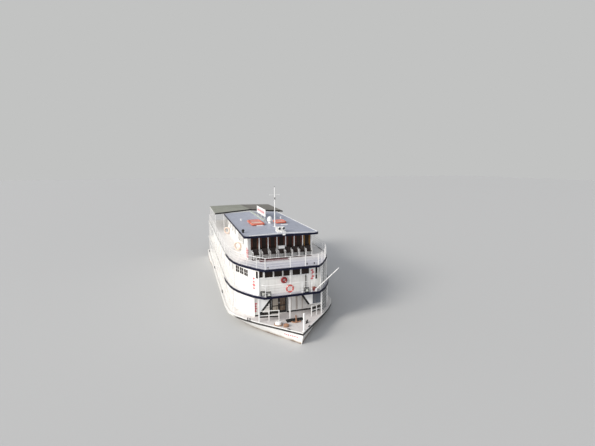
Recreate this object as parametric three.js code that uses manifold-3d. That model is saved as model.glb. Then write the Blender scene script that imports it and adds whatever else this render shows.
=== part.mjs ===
// River paddle steamer, a stern-wheeler with three decks, at full size.
// Millimetres, +X to the bow, +Y to port, +Z up, origin on the flat bottom amidships.
import * as THREE from 'three';
import { mergeVertices } from 'three/addons/utils/BufferGeometryUtils.js';
import Module from 'manifold-3d';

const wasm = await Module();
wasm.setup();

// Driving dimensions.
const STEM_X = 17000;
const STERN_X = -16000;
const HULL_TOP = 2000;
const MAIN_DECK_TOP = 2100;
const DECK_2_TOP = 4500;
const DECK_3_TOP = 7000;
const ROOF_EDGE_TOP = 9490;
const DECK_PLATE = 140;
const BAND_RISE = 70;
const STRAKE_HEIGHT = 127;
const FASCIA_THICKNESS = 45;
const WALL = 60;
const GLASS = 16;
const GAP = 0.3;
const HALF_BEAM = 5470;

// Half outlines in plan, bow to stern. Columns: distance aft of the stem head, half width.
const GUNWALE_HALF = [
  [0, 0], [1600, 1570], [3200, 3160], [4300, 4130], [5300, 4830], [6500, 5330], [8200, 5470],
];
const DECK_2_HALF = [
  [2770, 2600], [3630, 3500], [4570, 4130], [5390, 4590], [6190, 4910], [7100, 5130], [8900, 5340],
];
const DECK_3_HALF = [
  [2800, 2550], [3600, 3240], [4670, 3930], [5550, 4450], [6570, 4800], [8000, 5050], [10900, 5210],
];
const HOUSE_1_HALF = [[4600, 3200], [5500, 3950], [7400, 4600]];
const HOUSE_2_HALF = [[3520, 2970], [4300, 3590], [6700, 4500], [7700, 4560]];
const HOUSE_AFT_X = -14600;
const CABIN_FRONT_X = 9950;
const CABIN_AFT_X = -5400;
const CABIN_HALF = 3300;
const CABIN_WING = 100;
const ROOF_FRONT_X = 11060;
const ROOF_AFT_X = -5640;
const ROOF_HALF = 3720;
const ROOF_CORNER = 420;
const ROOF_RISE = 130;
const ROOF_PLATE = 90;
const CANOPY_FRONT_X = -6660;
const CANOPY_AFT_X = -15980;
const CANOPY_HALF = 4930;
const CANOPY_EAVE = 9450;
const CANOPY_RIDGE = 9850;
const CANOPY_AFT_RIDGE = 9560;
const CANOPY_PLATE = 60;

// The stern wheel and its shaft.
const WHEEL_X = -18700;
const WHEEL_Z = 2350;
const WHEEL_RADIUS = 1900;
const WHEEL_HALF = 3900;
const WHEEL_ARMS = 12;
const SHAFT_RADIUS = 95;
const BEAM_Y = 4350;

const MATERIALS = {
  white: { color: 0xeeebe4, roughness: 0.45, metalness: 0.0 },
  cream: { color: 0xe4dccb, roughness: 0.5, metalness: 0.0 },
  navy: { color: 0x141a38, roughness: 0.4, metalness: 0.0 },
  dark: { color: 0x24211f, roughness: 0.5, metalness: 0.0 },
  deck: { color: 0xb7b5bd, roughness: 0.7, metalness: 0.0 },
  roof: { color: 0xa9b4c3, roughness: 0.5, metalness: 0.1 },
  taupe: { color: 0x8f8b83, roughness: 0.7, metalness: 0.0 },
  glass: { color: 0x241a18, roughness: 0.1, metalness: 0.0 },
  orange: { color: 0xe0532c, roughness: 0.6, metalness: 0.0 },
  red: { color: 0x8c2a22, roughness: 0.6, metalness: 0.0 },
  rust: { color: 0x7a4a35, roughness: 0.8, metalness: 0.3 },
  iron: { color: 0x4a4a4c, roughness: 0.6, metalness: 0.7 },
};

const boat = new THREE.Group();

function place(name, material, geometry) {
  const mesh = new THREE.Mesh(geometry, new THREE.MeshStandardMaterial(MATERIALS[material]));
  mesh.name = name;
  boat.add(mesh);
  return mesh;
}

// Solids: booleans on closed meshes.
function solidOf(geometry) {
  const bare = geometry.clone();
  bare.deleteAttribute('normal');
  bare.deleteAttribute('uv');
  const merged = mergeVertices(bare, 0.01);
  return new wasm.Manifold(new wasm.Mesh({
    numProp: 3,
    vertProperties: new Float32Array(merged.attributes.position.array),
    triVerts: new Uint32Array(merged.index.array),
  }));
}

function geometryOf(solid) {
  const mesh = solid.getMesh();
  const geometry = new THREE.BufferGeometry();
  geometry.setAttribute('position', new THREE.BufferAttribute(mesh.vertProperties, 3));
  geometry.setIndex(new THREE.BufferAttribute(mesh.triVerts, 1));
  return geometry;
}

function union(geometries) {
  return geometries.map(solidOf).reduce((whole, piece) => whole.add(piece));
}

function joined(geometries) {
  return geometryOf(union(geometries));
}

function cut(geometry, cutters) {
  return geometryOf(cutters.length ? solidOf(geometry).subtract(union(cutters)) : solidOf(geometry));
}

// Plain shapes.
function box(x0, x1, y0, y1, z0, z1) {
  const geometry = new THREE.BoxGeometry(x1 - x0, y1 - y0, z1 - z0);
  return geometry.translate((x0 + x1) / 2, (y0 + y1) / 2, (z0 + z1) / 2);
}

function post(x, y, z0, z1, width) {
  return box(x - width / 2, x + width / 2, y - width / 2, y + width / 2, z0, z1);
}

function upright(x, y, z0, z1, radius, sides = 12, topRadius = radius) {
  const geometry = new THREE.CylinderGeometry(topRadius, radius, z1 - z0, sides);
  return geometry.rotateX(Math.PI / 2).translate(x, y, (z0 + z1) / 2);
}

function crosswise(x, z, y0, y1, radius, sides = 16) {
  return new THREE.CylinderGeometry(radius, radius, y1 - y0, sides).translate(x, (y0 + y1) / 2, z);
}

function bar(from, to, width, height = width) {
  const a = new THREE.Vector3(...from);
  const b = new THREE.Vector3(...to);
  const along = b.clone().sub(a);
  const geometry = new THREE.BoxGeometry(along.length(), width, height);
  const forward = along.clone().normalize();
  const side = new THREE.Vector3(0, 0, 1).cross(forward);
  if (side.length() < 0.01) side.set(0, 1, 0);
  side.normalize();
  const up = forward.clone().cross(side);
  const turn = new THREE.Matrix4().makeBasis(forward, side, up);
  return geometry.applyMatrix4(turn).translate((a.x + b.x) / 2, (a.y + b.y) / 2, (a.z + b.z) / 2);
}

function shapeOf(points, hole) {
  const shape = new THREE.Shape(points.map(([x, y]) => new THREE.Vector2(x, y)));
  if (hole) shape.holes.push(new THREE.Path(hole.map(([x, y]) => new THREE.Vector2(x, y))));
  return shape;
}

function slab(points, z0, z1, hole = null, steps = 1) {
  const shape = shapeOf(points, hole);
  const geometry = new THREE.ExtrudeGeometry(shape, { depth: z1 - z0, bevelEnabled: false, steps });
  return geometry.translate(0, 0, z0);
}

// Side profiles drawn in x and z, extruded across the boat from y0 to y1.
function profile(points, y0, y1) {
  const geometry = new THREE.ExtrudeGeometry(shapeOf(points), { depth: y1 - y0, bevelEnabled: false });
  return geometry.rotateX(Math.PI / 2).translate(0, y1, 0);
}

// Outlines in plan, anticlockwise from above.
function outline(half, aftX) {
  const port = half.map(([aft, width]) => [STEM_X - aft, width]);
  port.push([aftX, port[port.length - 1][1]]);
  const starboard = port.filter(([, y]) => y > 0).map(([x, y]) => [x, -y]);
  return [...port, ...starboard.reverse()];
}

function offset(points, distance) {
  const count = points.length;
  return points.map((point, i) => {
    const before = points[(i + count - 1) % count];
    const after = points[(i + 1) % count];
    const in1 = new THREE.Vector2(point[0] - before[0], point[1] - before[1]).normalize();
    const in2 = new THREE.Vector2(after[0] - point[0], after[1] - point[1]).normalize();
    const normal = new THREE.Vector2(in1.y + in2.y, -in1.x - in2.x).normalize();
    const cosine = normal.x * in1.y - normal.y * in1.x;
    return [point[0] + normal.x * distance / cosine, point[1] + normal.y * distance / cosine];
  });
}

function ring(points, outer, inner, z0, z1) {
  return slab(offset(points, outer), z0, z1, offset(points, inner));
}

const GUNWALE = outline(GUNWALE_HALF, STERN_X);
const DECK_2 = outline(DECK_2_HALF, STERN_X);
const DECK_3 = outline(DECK_3_HALF, STERN_X);
const HOUSE_1 = outline(HOUSE_1_HALF, HOUSE_AFT_X);
const HOUSE_2 = outline(HOUSE_2_HALF, HOUSE_AFT_X);

// Rudder stocks stand behind the transom.
const RUDDER_X = STERN_X - 160;
const RUDDER_Y = 2000;
const STOCK = 50;
const GUDGEON_TOP = 1400;
const TILLER_TOP = 1600;

// Hull: a plan outline drawn in towards the bottom, with a wedge under the stern.
function hull() {
  const runX = STERN_X + 3500;
  const keelRise = 700;
  const flareSlope = 0.27 / 0.524;
  const stemRake = 610;
  const body = slab(outline(GUNWALE_HALF, runX), 0, HULL_TOP, null, 2);
  const at = body.attributes.position;
  for (let i = 0; i < at.count; i += 1) {
    const x = at.getX(i);
    const depth = 1 - at.getZ(i) / HULL_TOP;
    const flare = flareSlope * THREE.MathUtils.smoothstep(x, STEM_X - 13000, STEM_X - 6000);
    at.setY(i, at.getY(i) * (1 - flare * depth));
    at.setX(i, x - stemRake * depth * THREE.MathUtils.smoothstep(x, STEM_X - 8000, STEM_X));
  }
  const stern = profile(
    [[runX + 50, 0], [runX + 50, HULL_TOP], [STERN_X, HULL_TOP], [STERN_X, keelRise], [runX, 0]],
    -HALF_BEAM, HALF_BEAM,
  );
  const gudgeons = [-RUDDER_Y, RUDDER_Y].map((y) => cut(
    box(RUDDER_X - 110, STERN_X + 20, y - 90, y + 90, GUDGEON_TOP - 100, GUDGEON_TOP),
    [upright(RUDDER_X, y, GUDGEON_TOP - 200, GUDGEON_TOP + 100, STOCK + 1.5, 16)],
  ));
  place('hull', 'white', joined([body, stern, ...gudgeons]));
  const strakeTop = MAIN_DECK_TOP - 3;
  place('rubbing_strake', 'dark', ring(GUNWALE, 70, 1, strakeTop - STRAKE_HEIGHT, strakeTop));
  place('main_deck', 'deck', slab(offset(GUNWALE, 1 - GAP), HULL_TOP + GAP, MAIN_DECK_TOP));
}

// Deck plates and the bands round their edges.
function decks() {
  for (const [name, edge, top] of [['deck_2', DECK_2, DECK_2_TOP], ['deck_3', DECK_3, DECK_3_TOP]]) {
    place(name, 'deck', slab(offset(edge, -FASCIA_THICKNESS - GAP), top - DECK_PLATE, top));
    place(`${name}_fascia`, 'navy', ring(edge, 0, -FASCIA_THICKNESS, top - DECK_PLATE, top + BAND_RISE));
  }
}

// Windows. Each wall runs from one corner of the plan to the next.
function opening(a, b, along, width, z0, z1) {
  const run = new THREE.Vector2(b[0] - a[0], b[1] - a[1]);
  const middle = (along + width / 2) / run.length();
  const cutter = new THREE.BoxGeometry(width, 4 * WALL, z1 - z0);
  cutter.rotateZ(run.angle());
  return cutter.translate(a[0] + run.x * middle, a[1] + run.y * middle, (z0 + z1) / 2);
}

function windowRow(a, b, first, width, pitch, count, z0, z1) {
  return Array.from({ length: count }, (_, i) => opening(a, b, first + i * pitch, width, z0, z1));
}

// Mirrors cutters made for the port side to starboard.
function bothSides(cutters) {
  const mirrored = cutters.map((cutter) => {
    cutter.computeBoundingBox();
    const turned = cutter.clone().applyMatrix4(new THREE.Matrix4().makeScale(1, -1, 1));
    const index = turned.index.array;
    for (let i = 0; i < index.length; i += 3) [index[i], index[i + 1]] = [index[i + 1], index[i]];
    return turned;
  });
  return [...cutters, ...mirrored];
}

// Doorway of the bow doors in the main house front: starboard and port edge.
const BOW_DOOR_TOP = 4150;
const BOW_DOOR_SILL = MAIN_DECK_TOP + 40;
const BOW_DOORWAY = [-1550, -130];
const DOOR_THICKNESS = 40;
const DOOR_CLEARANCE = 8;

// Each aft wall has an open doorway in the middle and two windows a side.
const AFT_DOOR_HALF = 500;
const AFT_DOOR_HEIGHT = 2000;
const AFT_SILL = 1000;
const AFT_HEAD = 1850;

function aftCuts(x, floor, second) {
  const windows = [1100, second + 400].map(
    (y) => box(x - 200, x + 200, y, y + 850, floor + AFT_SILL, floor + AFT_HEAD),
  );
  return [
    box(x - 200, x + 200, -AFT_DOOR_HALF, AFT_DOOR_HALF, floor + 40, floor + AFT_DOOR_HEIGHT),
    ...bothSides(windows),
  ];
}

function aftDoorGap(x, floor) {
  const half = AFT_DOOR_HALF + 20;
  return box(x - 200, x + 200, -half, half, floor, floor + AFT_DOOR_HEIGHT + 10);
}

function houses() {
  const sideWindows = { first: 700, width: 900, pitch: 2150, count: 10 };
  const port = ([aft, width]) => [STEM_X - aft, width];

  const base1 = MAIN_DECK_TOP + GAP;
  const top1 = DECK_2_TOP - DECK_PLATE - GAP;
  const front1 = STEM_X - HOUSE_1_HALF[0][0];
  const sides1 = windowRow(
    port(HOUSE_1_HALF[2]), [HOUSE_AFT_X, HOUSE_1_HALF[2][1]],
    sideWindows.first, sideWindows.width, sideWindows.pitch, sideWindows.count, 3000, 3850,
  );
  const cuts1 = [
    box(front1 - 200, front1 + 200, ...BOW_DOORWAY, BOW_DOOR_SILL, BOW_DOOR_TOP),
    box(front1 - 200, front1 + 200, -2800, -1800, 2950, 4050),
    box(front1 - 200, front1 + 200, 1950, 2850, 2950, 4050),
    ...bothSides(sides1),
    ...aftCuts(HOUSE_AFT_X, MAIN_DECK_TOP, 2000),
  ];
  place('main_house', 'cream', cut(ring(HOUSE_1, 0, -WALL, base1, top1), cuts1));

  const base2 = DECK_2_TOP + GAP;
  const top2 = DECK_3_TOP - DECK_PLATE - GAP;
  const front2 = STEM_X - HOUSE_2_HALF[0][0];
  // Front panes of the second deck. Columns: starboard edge, port edge.
  const panes2 = [[-2930, -2550], [-2380, -1700], [-1515, -835], [-650, 30], [215, 895], [1080, 1760]];
  const sill2 = 6150;
  const head2 = 6790;
  const corners2 = HOUSE_2_HALF.map(port);
  const bowSide = [
    opening(corners2[0], corners2[1], 70, 200, sill2 - 50, head2 - 40),
    ...windowRow(corners2[1], corners2[2], 340, 580, 790, 3, sill2 - 120, head2),
  ];
  const sides2 = windowRow(
    corners2[3], [HOUSE_AFT_X, corners2[3][1]],
    sideWindows.first, sideWindows.width, sideWindows.pitch, sideWindows.count, 5550, 6400,
  );
  const cuts2 = [
    ...panes2.map(([y0, y1]) => box(front2 - 200, front2 + 200, y0, y1, sill2, head2)),
    box(front2 - 200, front2 + 200, 2440, 2600, 5550, 6750),
    ...bothSides([...bowSide, ...sides2]),
    ...aftCuts(HOUSE_AFT_X, DECK_2_TOP, 2000),
  ];
  place('deck_2_house', 'cream', cut(ring(HOUSE_2, 0, -WALL, base2, top2), cuts2));

  // The glazing stays clear of the doorways below their heads.
  const doorGap = box(
    front1 - 200, front1 + 200, BOW_DOORWAY[0] - 20, BOW_DOORWAY[1] + 20, MAIN_DECK_TOP, BOW_DOOR_TOP + 10,
  );
  const glassTop = top1 - 60;
  const glassOut = HOUSE_AFT_X + WALL + GAP;
  const glassIn = HOUSE_AFT_X + WALL + GLASS;
  const aftGlassHalf = HOUSE_1_HALF[2][1] - 2 * WALL;
  place('main_house_glazing', 'glass', cut(
    ring(HOUSE_1, -WALL - GAP, -WALL - GLASS, 2900, glassTop),
    [doorGap, box(HOUSE_AFT_X - 200, glassIn + GAP, -HALF_BEAM, HALF_BEAM, MAIN_DECK_TOP, top1)],
  ));
  place('main_aft_glazing', 'glass', cut(
    box(glassOut, glassIn, -aftGlassHalf, aftGlassHalf, 2900, glassTop), [aftDoorGap(HOUSE_AFT_X, MAIN_DECK_TOP)],
  ));
  place('deck_2_glazing', 'glass', cut(
    ring(HOUSE_2, -WALL - GAP, -WALL - GLASS, 5450, top2 - 20), [aftDoorGap(HOUSE_AFT_X, DECK_2_TOP)],
  ));
}

// Top cabin with its recessed glass front.
const CABIN_TOP = ROOF_EDGE_TOP - 210;
const CABIN_DOORWAY = [4300, 5150];
const CABIN_SILL = DECK_3_TOP + 40;
const CABIN_DOOR_TOP = 9000;

function cabin() {
  const base = DECK_3_TOP + GAP;
  const plan = [
    [CABIN_FRONT_X, CABIN_HALF], [CABIN_AFT_X, CABIN_HALF],
    [CABIN_AFT_X, -CABIN_HALF], [CABIN_FRONT_X, -CABIN_HALF],
  ];
  const walls = [ring(plan, 0, -WALL, base, CABIN_TOP)];
  for (const side of [-1, 1]) {
    const y = side * (CABIN_HALF - WALL / 2);
    const tip = CABIN_FRONT_X + CABIN_WING;
    walls.push(box(CABIN_FRONT_X - 10, tip, y - WALL / 2, y + WALL / 2, base, CABIN_TOP));
  }
  const paneWidth = 800;
  const panePitch = 900;
  const firstPane = -2975;
  const cuts = Array.from({ length: 7 }, (_, i) => {
    const y = firstPane + i * panePitch;
    return box(CABIN_FRONT_X - 200, CABIN_FRONT_X + 200, y, y + paneWidth, 7850, 9060);
  });
  const sideCuts = windowRow([3000, CABIN_HALF], [CABIN_AFT_X, CABIN_HALF], 700, 1100, 2000, 4, 7950, 8850);
  sideCuts.push(opening([8500, CABIN_HALF], [4000, CABIN_HALF], 300, 1000, 7950, 8850));
  sideCuts.push(opening([8500, CABIN_HALF], [4000, CABIN_HALF], 1900, 1000, 7950, 8850));
  sideCuts.push(box(...CABIN_DOORWAY, CABIN_HALF - 200, CABIN_HALF + 200, CABIN_SILL, CABIN_DOOR_TOP));
  const shell = geometryOf(union(walls));
  const cabinCuts = [...cuts, ...bothSides(sideCuts), ...aftCuts(CABIN_AFT_X, DECK_3_TOP, 1700)];
  place('top_cabin', 'cream', cut(shell, cabinCuts));
  const doorGap = box(
    CABIN_DOORWAY[0] - 20, CABIN_DOORWAY[1] + 20, CABIN_HALF - 200, CABIN_HALF + 200,
    DECK_3_TOP, CABIN_DOOR_TOP + 10,
  );
  place('top_cabin_glazing', 'glass', cut(
    ring(plan, -WALL - GAP, -WALL - GLASS, 7750, 9200),
    [...bothSides([doorGap]), aftDoorGap(CABIN_AFT_X, DECK_3_TOP)],
  ));
}

// Doors hang on a round knuckle that stands just proud of the wall beside the doorway.
const KNUCKLE = 12;
const KNUCKLE_STAND = KNUCKLE + 0.4;
const HINGE_OUT = 6;

function doorBox(from, to, out0, out1, z0, z1, swap) {
  const [a, b] = [Math.min(from, to), Math.max(from, to)];
  const [c, d] = [Math.min(out0, out1), Math.max(out0, out1)];
  return swap ? box(a, b, c, d, z0, z1) : box(c, d, a, b, z0, z1);
}

function doors() {
  const bowMiddle = (BOW_DOORWAY[0] + BOW_DOORWAY[1]) / 2;
  const bowFace = STEM_X - HOUSE_1_HALF[0][0];
  const [cabinAft, cabinFore] = CABIN_DOORWAY;
  // Columns: name, paint, wall face, outward sign, jamb, closing edge, sill, head, wall runs along x.
  const leaves = [
    ['bow_door_starboard', 'dark', bowFace, 1, BOW_DOORWAY[0], bowMiddle, BOW_DOOR_SILL, BOW_DOOR_TOP, false],
    ['bow_door_port', 'dark', bowFace, 1, BOW_DOORWAY[1], bowMiddle, BOW_DOOR_SILL, BOW_DOOR_TOP, false],
    ['cabin_door_port', 'white', CABIN_HALF, 1, cabinFore, cabinAft, CABIN_SILL, CABIN_DOOR_TOP, true],
    ['cabin_door_starboard', 'white', -CABIN_HALF, -1, cabinFore, cabinAft, CABIN_SILL, CABIN_DOOR_TOP, true],
  ];
  for (const [name, paint, face, out, jamb, lock, sill, head, alongX] of leaves) {
    const inward = Math.sign(lock - jamb);
    const low = sill + DOOR_CLEARANCE;
    const high = head - DOOR_CLEARANCE;
    const edge = jamb + inward * DOOR_CLEARANCE;
    const hinge = jamb - inward * HINGE_OUT;
    const pin = face + out * KNUCKLE_STAND;
    const parts = [
      doorBox(edge, lock - inward * DOOR_CLEARANCE, face - out * DOOR_THICKNESS, face, low, high, alongX),
      doorBox(edge, edge + inward * 30, face - out * 10, pin + out * 5, low, high, alongX),
      doorBox(hinge, edge + inward * 5, pin - out * 5, pin + out * 5, low, high, alongX),
      alongX ? upright(hinge, pin, low, high, KNUCKLE) : upright(pin, hinge, low, high, KNUCKLE),
    ];
    place(name, paint, joined(parts));
  }
}

// Main roof: a cambered plate with a band round it. Canopy: a shallow gable on posts, its ridge lower aft.
function gable(x0, x1, half, eave, ridge, plate, aftRidge = ridge) {
  const section = [
    [half, eave - plate], [half, eave], [0, ridge], [-half, eave], [-half, eave - plate], [0, ridge - plate],
  ];
  const shape = shapeOf(section);
  const geometry = new THREE.ExtrudeGeometry(shape, { depth: x1 - x0, bevelEnabled: false });
  geometry.rotateX(Math.PI / 2).rotateZ(Math.PI / 2).translate(x0, 0, 0);
  const at = geometry.attributes.position;
  for (let i = 0; i < at.count; i += 1) {
    if (Math.abs(at.getY(i)) < 1 && at.getX(i) < x0 + 1) at.setZ(i, at.getZ(i) + aftRidge - ridge);
  }
  return geometry;
}

function roofs() {
  const edge = ROOF_EDGE_TOP - ROOF_PLATE;
  const corner = (side, turn) => [
    ROOF_FRONT_X - ROOF_CORNER * (1 - Math.sin(turn)), side * (ROOF_HALF - ROOF_CORNER * (1 - Math.cos(turn))),
  ];
  const turns = [0, 1, 2, 3].map((i) => (i * Math.PI) / 6);
  const plan = [
    [ROOF_AFT_X, -ROOF_HALF], ...turns.map((turn) => corner(-1, turn)),
    ...turns.reverse().map((turn) => corner(1, turn)), [ROOF_AFT_X, ROOF_HALF],
  ];
  const sheet = union([
    gable(ROOF_AFT_X, ROOF_FRONT_X, ROOF_HALF, ROOF_EDGE_TOP, ROOF_EDGE_TOP + ROOF_RISE, ROOF_PLATE),
    box(ROOF_AFT_X + 100, ROOF_FRONT_X - 100, -ROOF_HALF + 100, ROOF_HALF - 100, CABIN_TOP + GAP, edge + 20),
  ]);
  place('main_roof', 'roof', geometryOf(sheet.intersect(solidOf(slab(plan, CABIN_TOP, ROOF_EDGE_TOP + 2 * ROOF_RISE)))));
  place('roof_fascia', 'navy', ring(plan, FASCIA_THICKNESS, GAP, ROOF_EDGE_TOP - 200, ROOF_EDGE_TOP));
  place('canopy', 'taupe', gable(
    CANOPY_AFT_X, CANOPY_FRONT_X, CANOPY_HALF, CANOPY_EAVE, CANOPY_RIDGE, CANOPY_PLATE, CANOPY_AFT_RIDGE,
  ));
}

// Rails. A run is a list of corners in plan; posts stand on it and bars join them.
function railRun(points, floor, posts, postSize, barHeights = RAIL_HEIGHTS, barSize = BAR_SIZE) {
  const pieces = [];
  for (const height of barHeights) {
    for (let i = 0; i + 1 < points.length; i += 1) {
      const [a, b] = [points[i], points[i + 1]];
      const along = new THREE.Vector2(b[0] - a[0], b[1] - a[1]).setLength(barSize / 2);
      pieces.push(bar(
        [a[0] - along.x, a[1] - along.y, floor + height], [b[0] + along.x, b[1] + along.y, floor + height],
        barSize,
      ));
    }
  }
  for (const [x, y, top] of posts) pieces.push(post(x, y, floor + GAP, top, postSize));
  return joined(pieces);
}

function alongEdge(half, inset, x) {
  const table = half.map(([aft, width]) => [STEM_X - aft, width - inset]);
  table.push([STERN_X, table[table.length - 1][1]]);
  for (let i = 0; i + 1 < table.length; i += 1) {
    const [a, b] = [table[i], table[i + 1]];
    if (x <= a[0] && x >= b[0]) return a[1] + (b[1] - a[1]) * (a[0] - x) / (a[0] - b[0]);
  }
  return table[0][1];
}

const RAIL_INSET = 125;
const DECK_2_RAIL_INSET = 60;
const CENTRE_POST_Y = -200;
const RAIL_TOP = 1080;
const RAIL_HEIGHTS = [150, 620, RAIL_TOP];
const POST_SIZE = 80;
const LOW_POST_SIZE = 60;
const BAR_SIZE = 45;
const SIDE_POST_PITCH = 2900;

function sideRail(name, half, side, fromX, toX, floor, top, postSize, inset) {
  const between = half.map(([aft]) => STEM_X - aft).filter((x) => x < fromX - 200 && x > toX + 200);
  const corners = [fromX, ...between, toX];
  const points = corners.map((x) => [x, side * alongEdge(half, inset, x)]);
  const posts = points.slice(0, -1).map(([x, y]) => [x, y, top]);
  const lastCorner = points[points.length - 2][0];
  const bays = Math.round((lastCorner - toX) / SIDE_POST_PITCH);
  for (let i = 1; i <= bays; i += 1) {
    const x = lastCorner + (toX - lastCorner) * i / bays;
    posts.push([x, side * alongEdge(half, inset, x), top]);
  }
  place(name, 'white', railRun(points, floor, posts, postSize));
}

function rails() {
  const under2 = DECK_2_TOP - DECK_PLATE - GAP;
  const under3 = DECK_3_TOP - DECK_PLATE - GAP;
  const aftX = STERN_X + RAIL_INSET;
  const frontCorner = STEM_X - 3300;
  const sides = [['port', 1], ['starboard', -1]];
  for (const [word, side] of sides) {
    const mainFrom = STEM_X - (side > 0 ? 5900 : 6500);
    const deck2From = side > 0 ? frontCorner : STEM_X - 6500;
    sideRail(
      `main_rail_${word}`, DECK_2_HALF, side, mainFrom, aftX, MAIN_DECK_TOP, under2, POST_SIZE, RAIL_INSET,
    );
    sideRail(
      `deck_2_rail_${word}`, DECK_3_HALF, side, deck2From, aftX, DECK_2_TOP, under3, POST_SIZE, DECK_2_RAIL_INSET,
    );
    sideRail(
      `deck_3_rail_${word}`, DECK_3_HALF, side, STEM_X - 3600, aftX, DECK_3_TOP, DECK_3_TOP + RAIL_TOP,
      LOW_POST_SIZE, RAIL_INSET,
    );
  }
  const clear = POST_SIZE / 2 + BAR_SIZE + 10;
  // Front rails. Columns: name, floor, centre post top, first corner aft, gap left for the boom.
  const fronts = [
    ['deck_2_rail_front', DECK_2_TOP, DECK_3_TOP - DECK_PLATE - GAP, 3300, 620],
    ['deck_3_rail_front', DECK_3_TOP, DECK_3_TOP + RAIL_TOP, 3600, 0],
  ];
  for (const [name, floor, centreTop, startAft, boomGap] of fronts) {
    const half = DECK_3_HALF;
    const top = floor + RAIL_TOP;
    const edgeX = STEM_X - half[0][0] - RAIL_INSET;
    const cornerY = half[0][1] - 60;
    const portEnd = cornerY - boomGap;
    const startX = STEM_X - startAft;
    const startY = alongEdge(half, RAIL_INSET, startX);
    const lean = new THREE.Vector2(edgeX - startX, cornerY - startY).setLength(clear);
    const points = [[startX + lean.x, -startY - lean.y], [edgeX, -cornerY], [edgeX, portEnd]];
    const posts = [-cornerY, portEnd / 2, portEnd].map((y) => [edgeX, y, top]);
    posts.push([edgeX, CENTRE_POST_Y, centreTop]);
    if (portEnd === cornerY) points.push([startX + lean.x, startY + lean.y]);
    place(name, 'white', railRun(points, floor, posts, LOW_POST_SIZE));
  }
  // The lower centre post carries the front of deck 2.
  place('bow_post', 'white', post(
    STEM_X - 3080, CENTRE_POST_Y, MAIN_DECK_TOP + GAP, DECK_2_TOP - DECK_PLATE - GAP, 110,
  ));
  // Stern rails between the last side posts.
  for (const [name, half, floor] of [
    ['deck_2_rail_aft', DECK_3_HALF, DECK_2_TOP], ['deck_3_rail_aft', DECK_3_HALF, DECK_3_TOP],
  ]) {
    const y = alongEdge(half, RAIL_INSET, aftX) - clear;
    const points = [[aftX, -y], [aftX, y]];
    const posts = [-y, -y / 2, 0, y / 2, y].map((at) => [aftX, at, floor + RAIL_TOP]);
    place(name, 'white', railRun(points, floor, posts, LOW_POST_SIZE));
  }
}

// Canopy frame: two rows of posts a side, tied by beams under the eaves and across.
function canopyFrame() {
  const beam = 90;
  const frontX = CANOPY_FRONT_X - 120;
  const aftX = CANOPY_AFT_X + 330;
  const postY = CANOPY_HALF - 60;
  const slope = (CANOPY_AFT_RIDGE - CANOPY_EAVE) / CANOPY_HALF;
  const beamTop = CANOPY_EAVE - CANOPY_PLATE - GAP + slope * (CANOPY_HALF - postY - beam / 2);
  const beamZ = beamTop - beam / 2;
  const innerY = 3700;
  const pieces = [];
  for (const side of [-1, 1]) {
    pieces.push(bar([aftX - 40, side * postY, beamZ], [frontX + 40, side * postY, beamZ], beam));
    for (let i = 0; i <= 4; i += 1) {
      pieces.push(post(frontX + (aftX - frontX) * i / 4, side * postY, DECK_3_TOP + GAP, beamTop - 10, 75));
    }
    pieces.push(post(frontX, side * innerY, DECK_3_TOP + GAP, beamTop - 10, 75));
  }
  for (const x of [frontX, aftX]) {
    pieces.push(bar([x, -postY, beamZ], [x, postY, beamZ], beam - 4));
  }
  place('canopy_frame', 'white', joined(pieces));
}

// Bow furniture on the main deck.
function bow() {
  const deck = MAIN_DECK_TOP + GAP;
  place('jackstaff', 'white', upright(STEM_X - 380, 220, deck, MAIN_DECK_TOP + 1650, 75, 10));
  // Corner frames under deck 2: corner post, knee panel and the rail across the deck.
  const under = DECK_2_TOP - DECK_PLATE - GAP;
  const cornerX = STEM_X - 3380;
  const cornerY = 3020;
  // Columns: name, side, inner end of the rail, inner edge of the knee panel low and high, its drop.
  const frames = [['port', 1, 1900, 1740, 970, 1200], ['starboard', -1, 1250, 2960, 1720, 1550]];
  for (const [word, side, innerY, kneeLow, kneeHigh, drop] of frames) {
    const kneePoints = [
      [side * cornerY, under - drop], [side * kneeLow, under - drop], [side * kneeHigh, under],
      [side * cornerY, under],
    ];
    const knee = new THREE.ExtrudeGeometry(
      shapeOf(side > 0 ? kneePoints : kneePoints.reverse()), { depth: 40, bevelEnabled: false },
    );
    place(`bow_frame_${word}`, 'white', joined([
      post(cornerX, side * cornerY, deck, under, 110),
      knee.rotateX(Math.PI / 2).rotateZ(Math.PI / 2).translate(cornerX - 20, 0, 0),
      railRun(
        [[cornerX, side * cornerY], [cornerX + 330, side * innerY]], MAIN_DECK_TOP,
        [[cornerX + 165, side * (cornerY + innerY) / 2, 3100], [cornerX + 330, side * innerY, 3100]], 65,
        [560, 1000], 50,
      ),
    ]));
  }
  place('deck_grate', 'dark', box(STEM_X - 3000, STEM_X - 2400, -650, 950, deck, MAIN_DECK_TOP + 60));
  const grateTop = MAIN_DECK_TOP + 60 + GAP;
  const stock = bar([STEM_X - 2850, -500, grateTop + 35], [STEM_X - 2650, 900, grateTop + 35], 70);
  const shank = bar([STEM_X - 2980, 350, grateTop + 45], [STEM_X - 2050, 100, grateTop + 45], 90);
  const flukes = bar([STEM_X - 2300, -250, deck + 55], [STEM_X - 1950, 480, deck + 55], 110);
  place('anchor', 'rust', joined([shank, stock, flukes]));
  place('rope_drum', 'white', joined([
    upright(STEM_X - 2200, -1540, deck, MAIN_DECK_TOP + 160, 400, 20, 350),
    upright(STEM_X - 2200, -1540, MAIN_DECK_TOP + 150, MAIN_DECK_TOP + 330, 260, 16),
  ]));
}

// Deck 2 and deck 3 furniture at the front.
function torus(radius, tube, segments = 20, sides = 8) {
  return new THREE.TorusGeometry(radius, tube, sides, segments).rotateY(Math.PI / 2);
}

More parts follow.
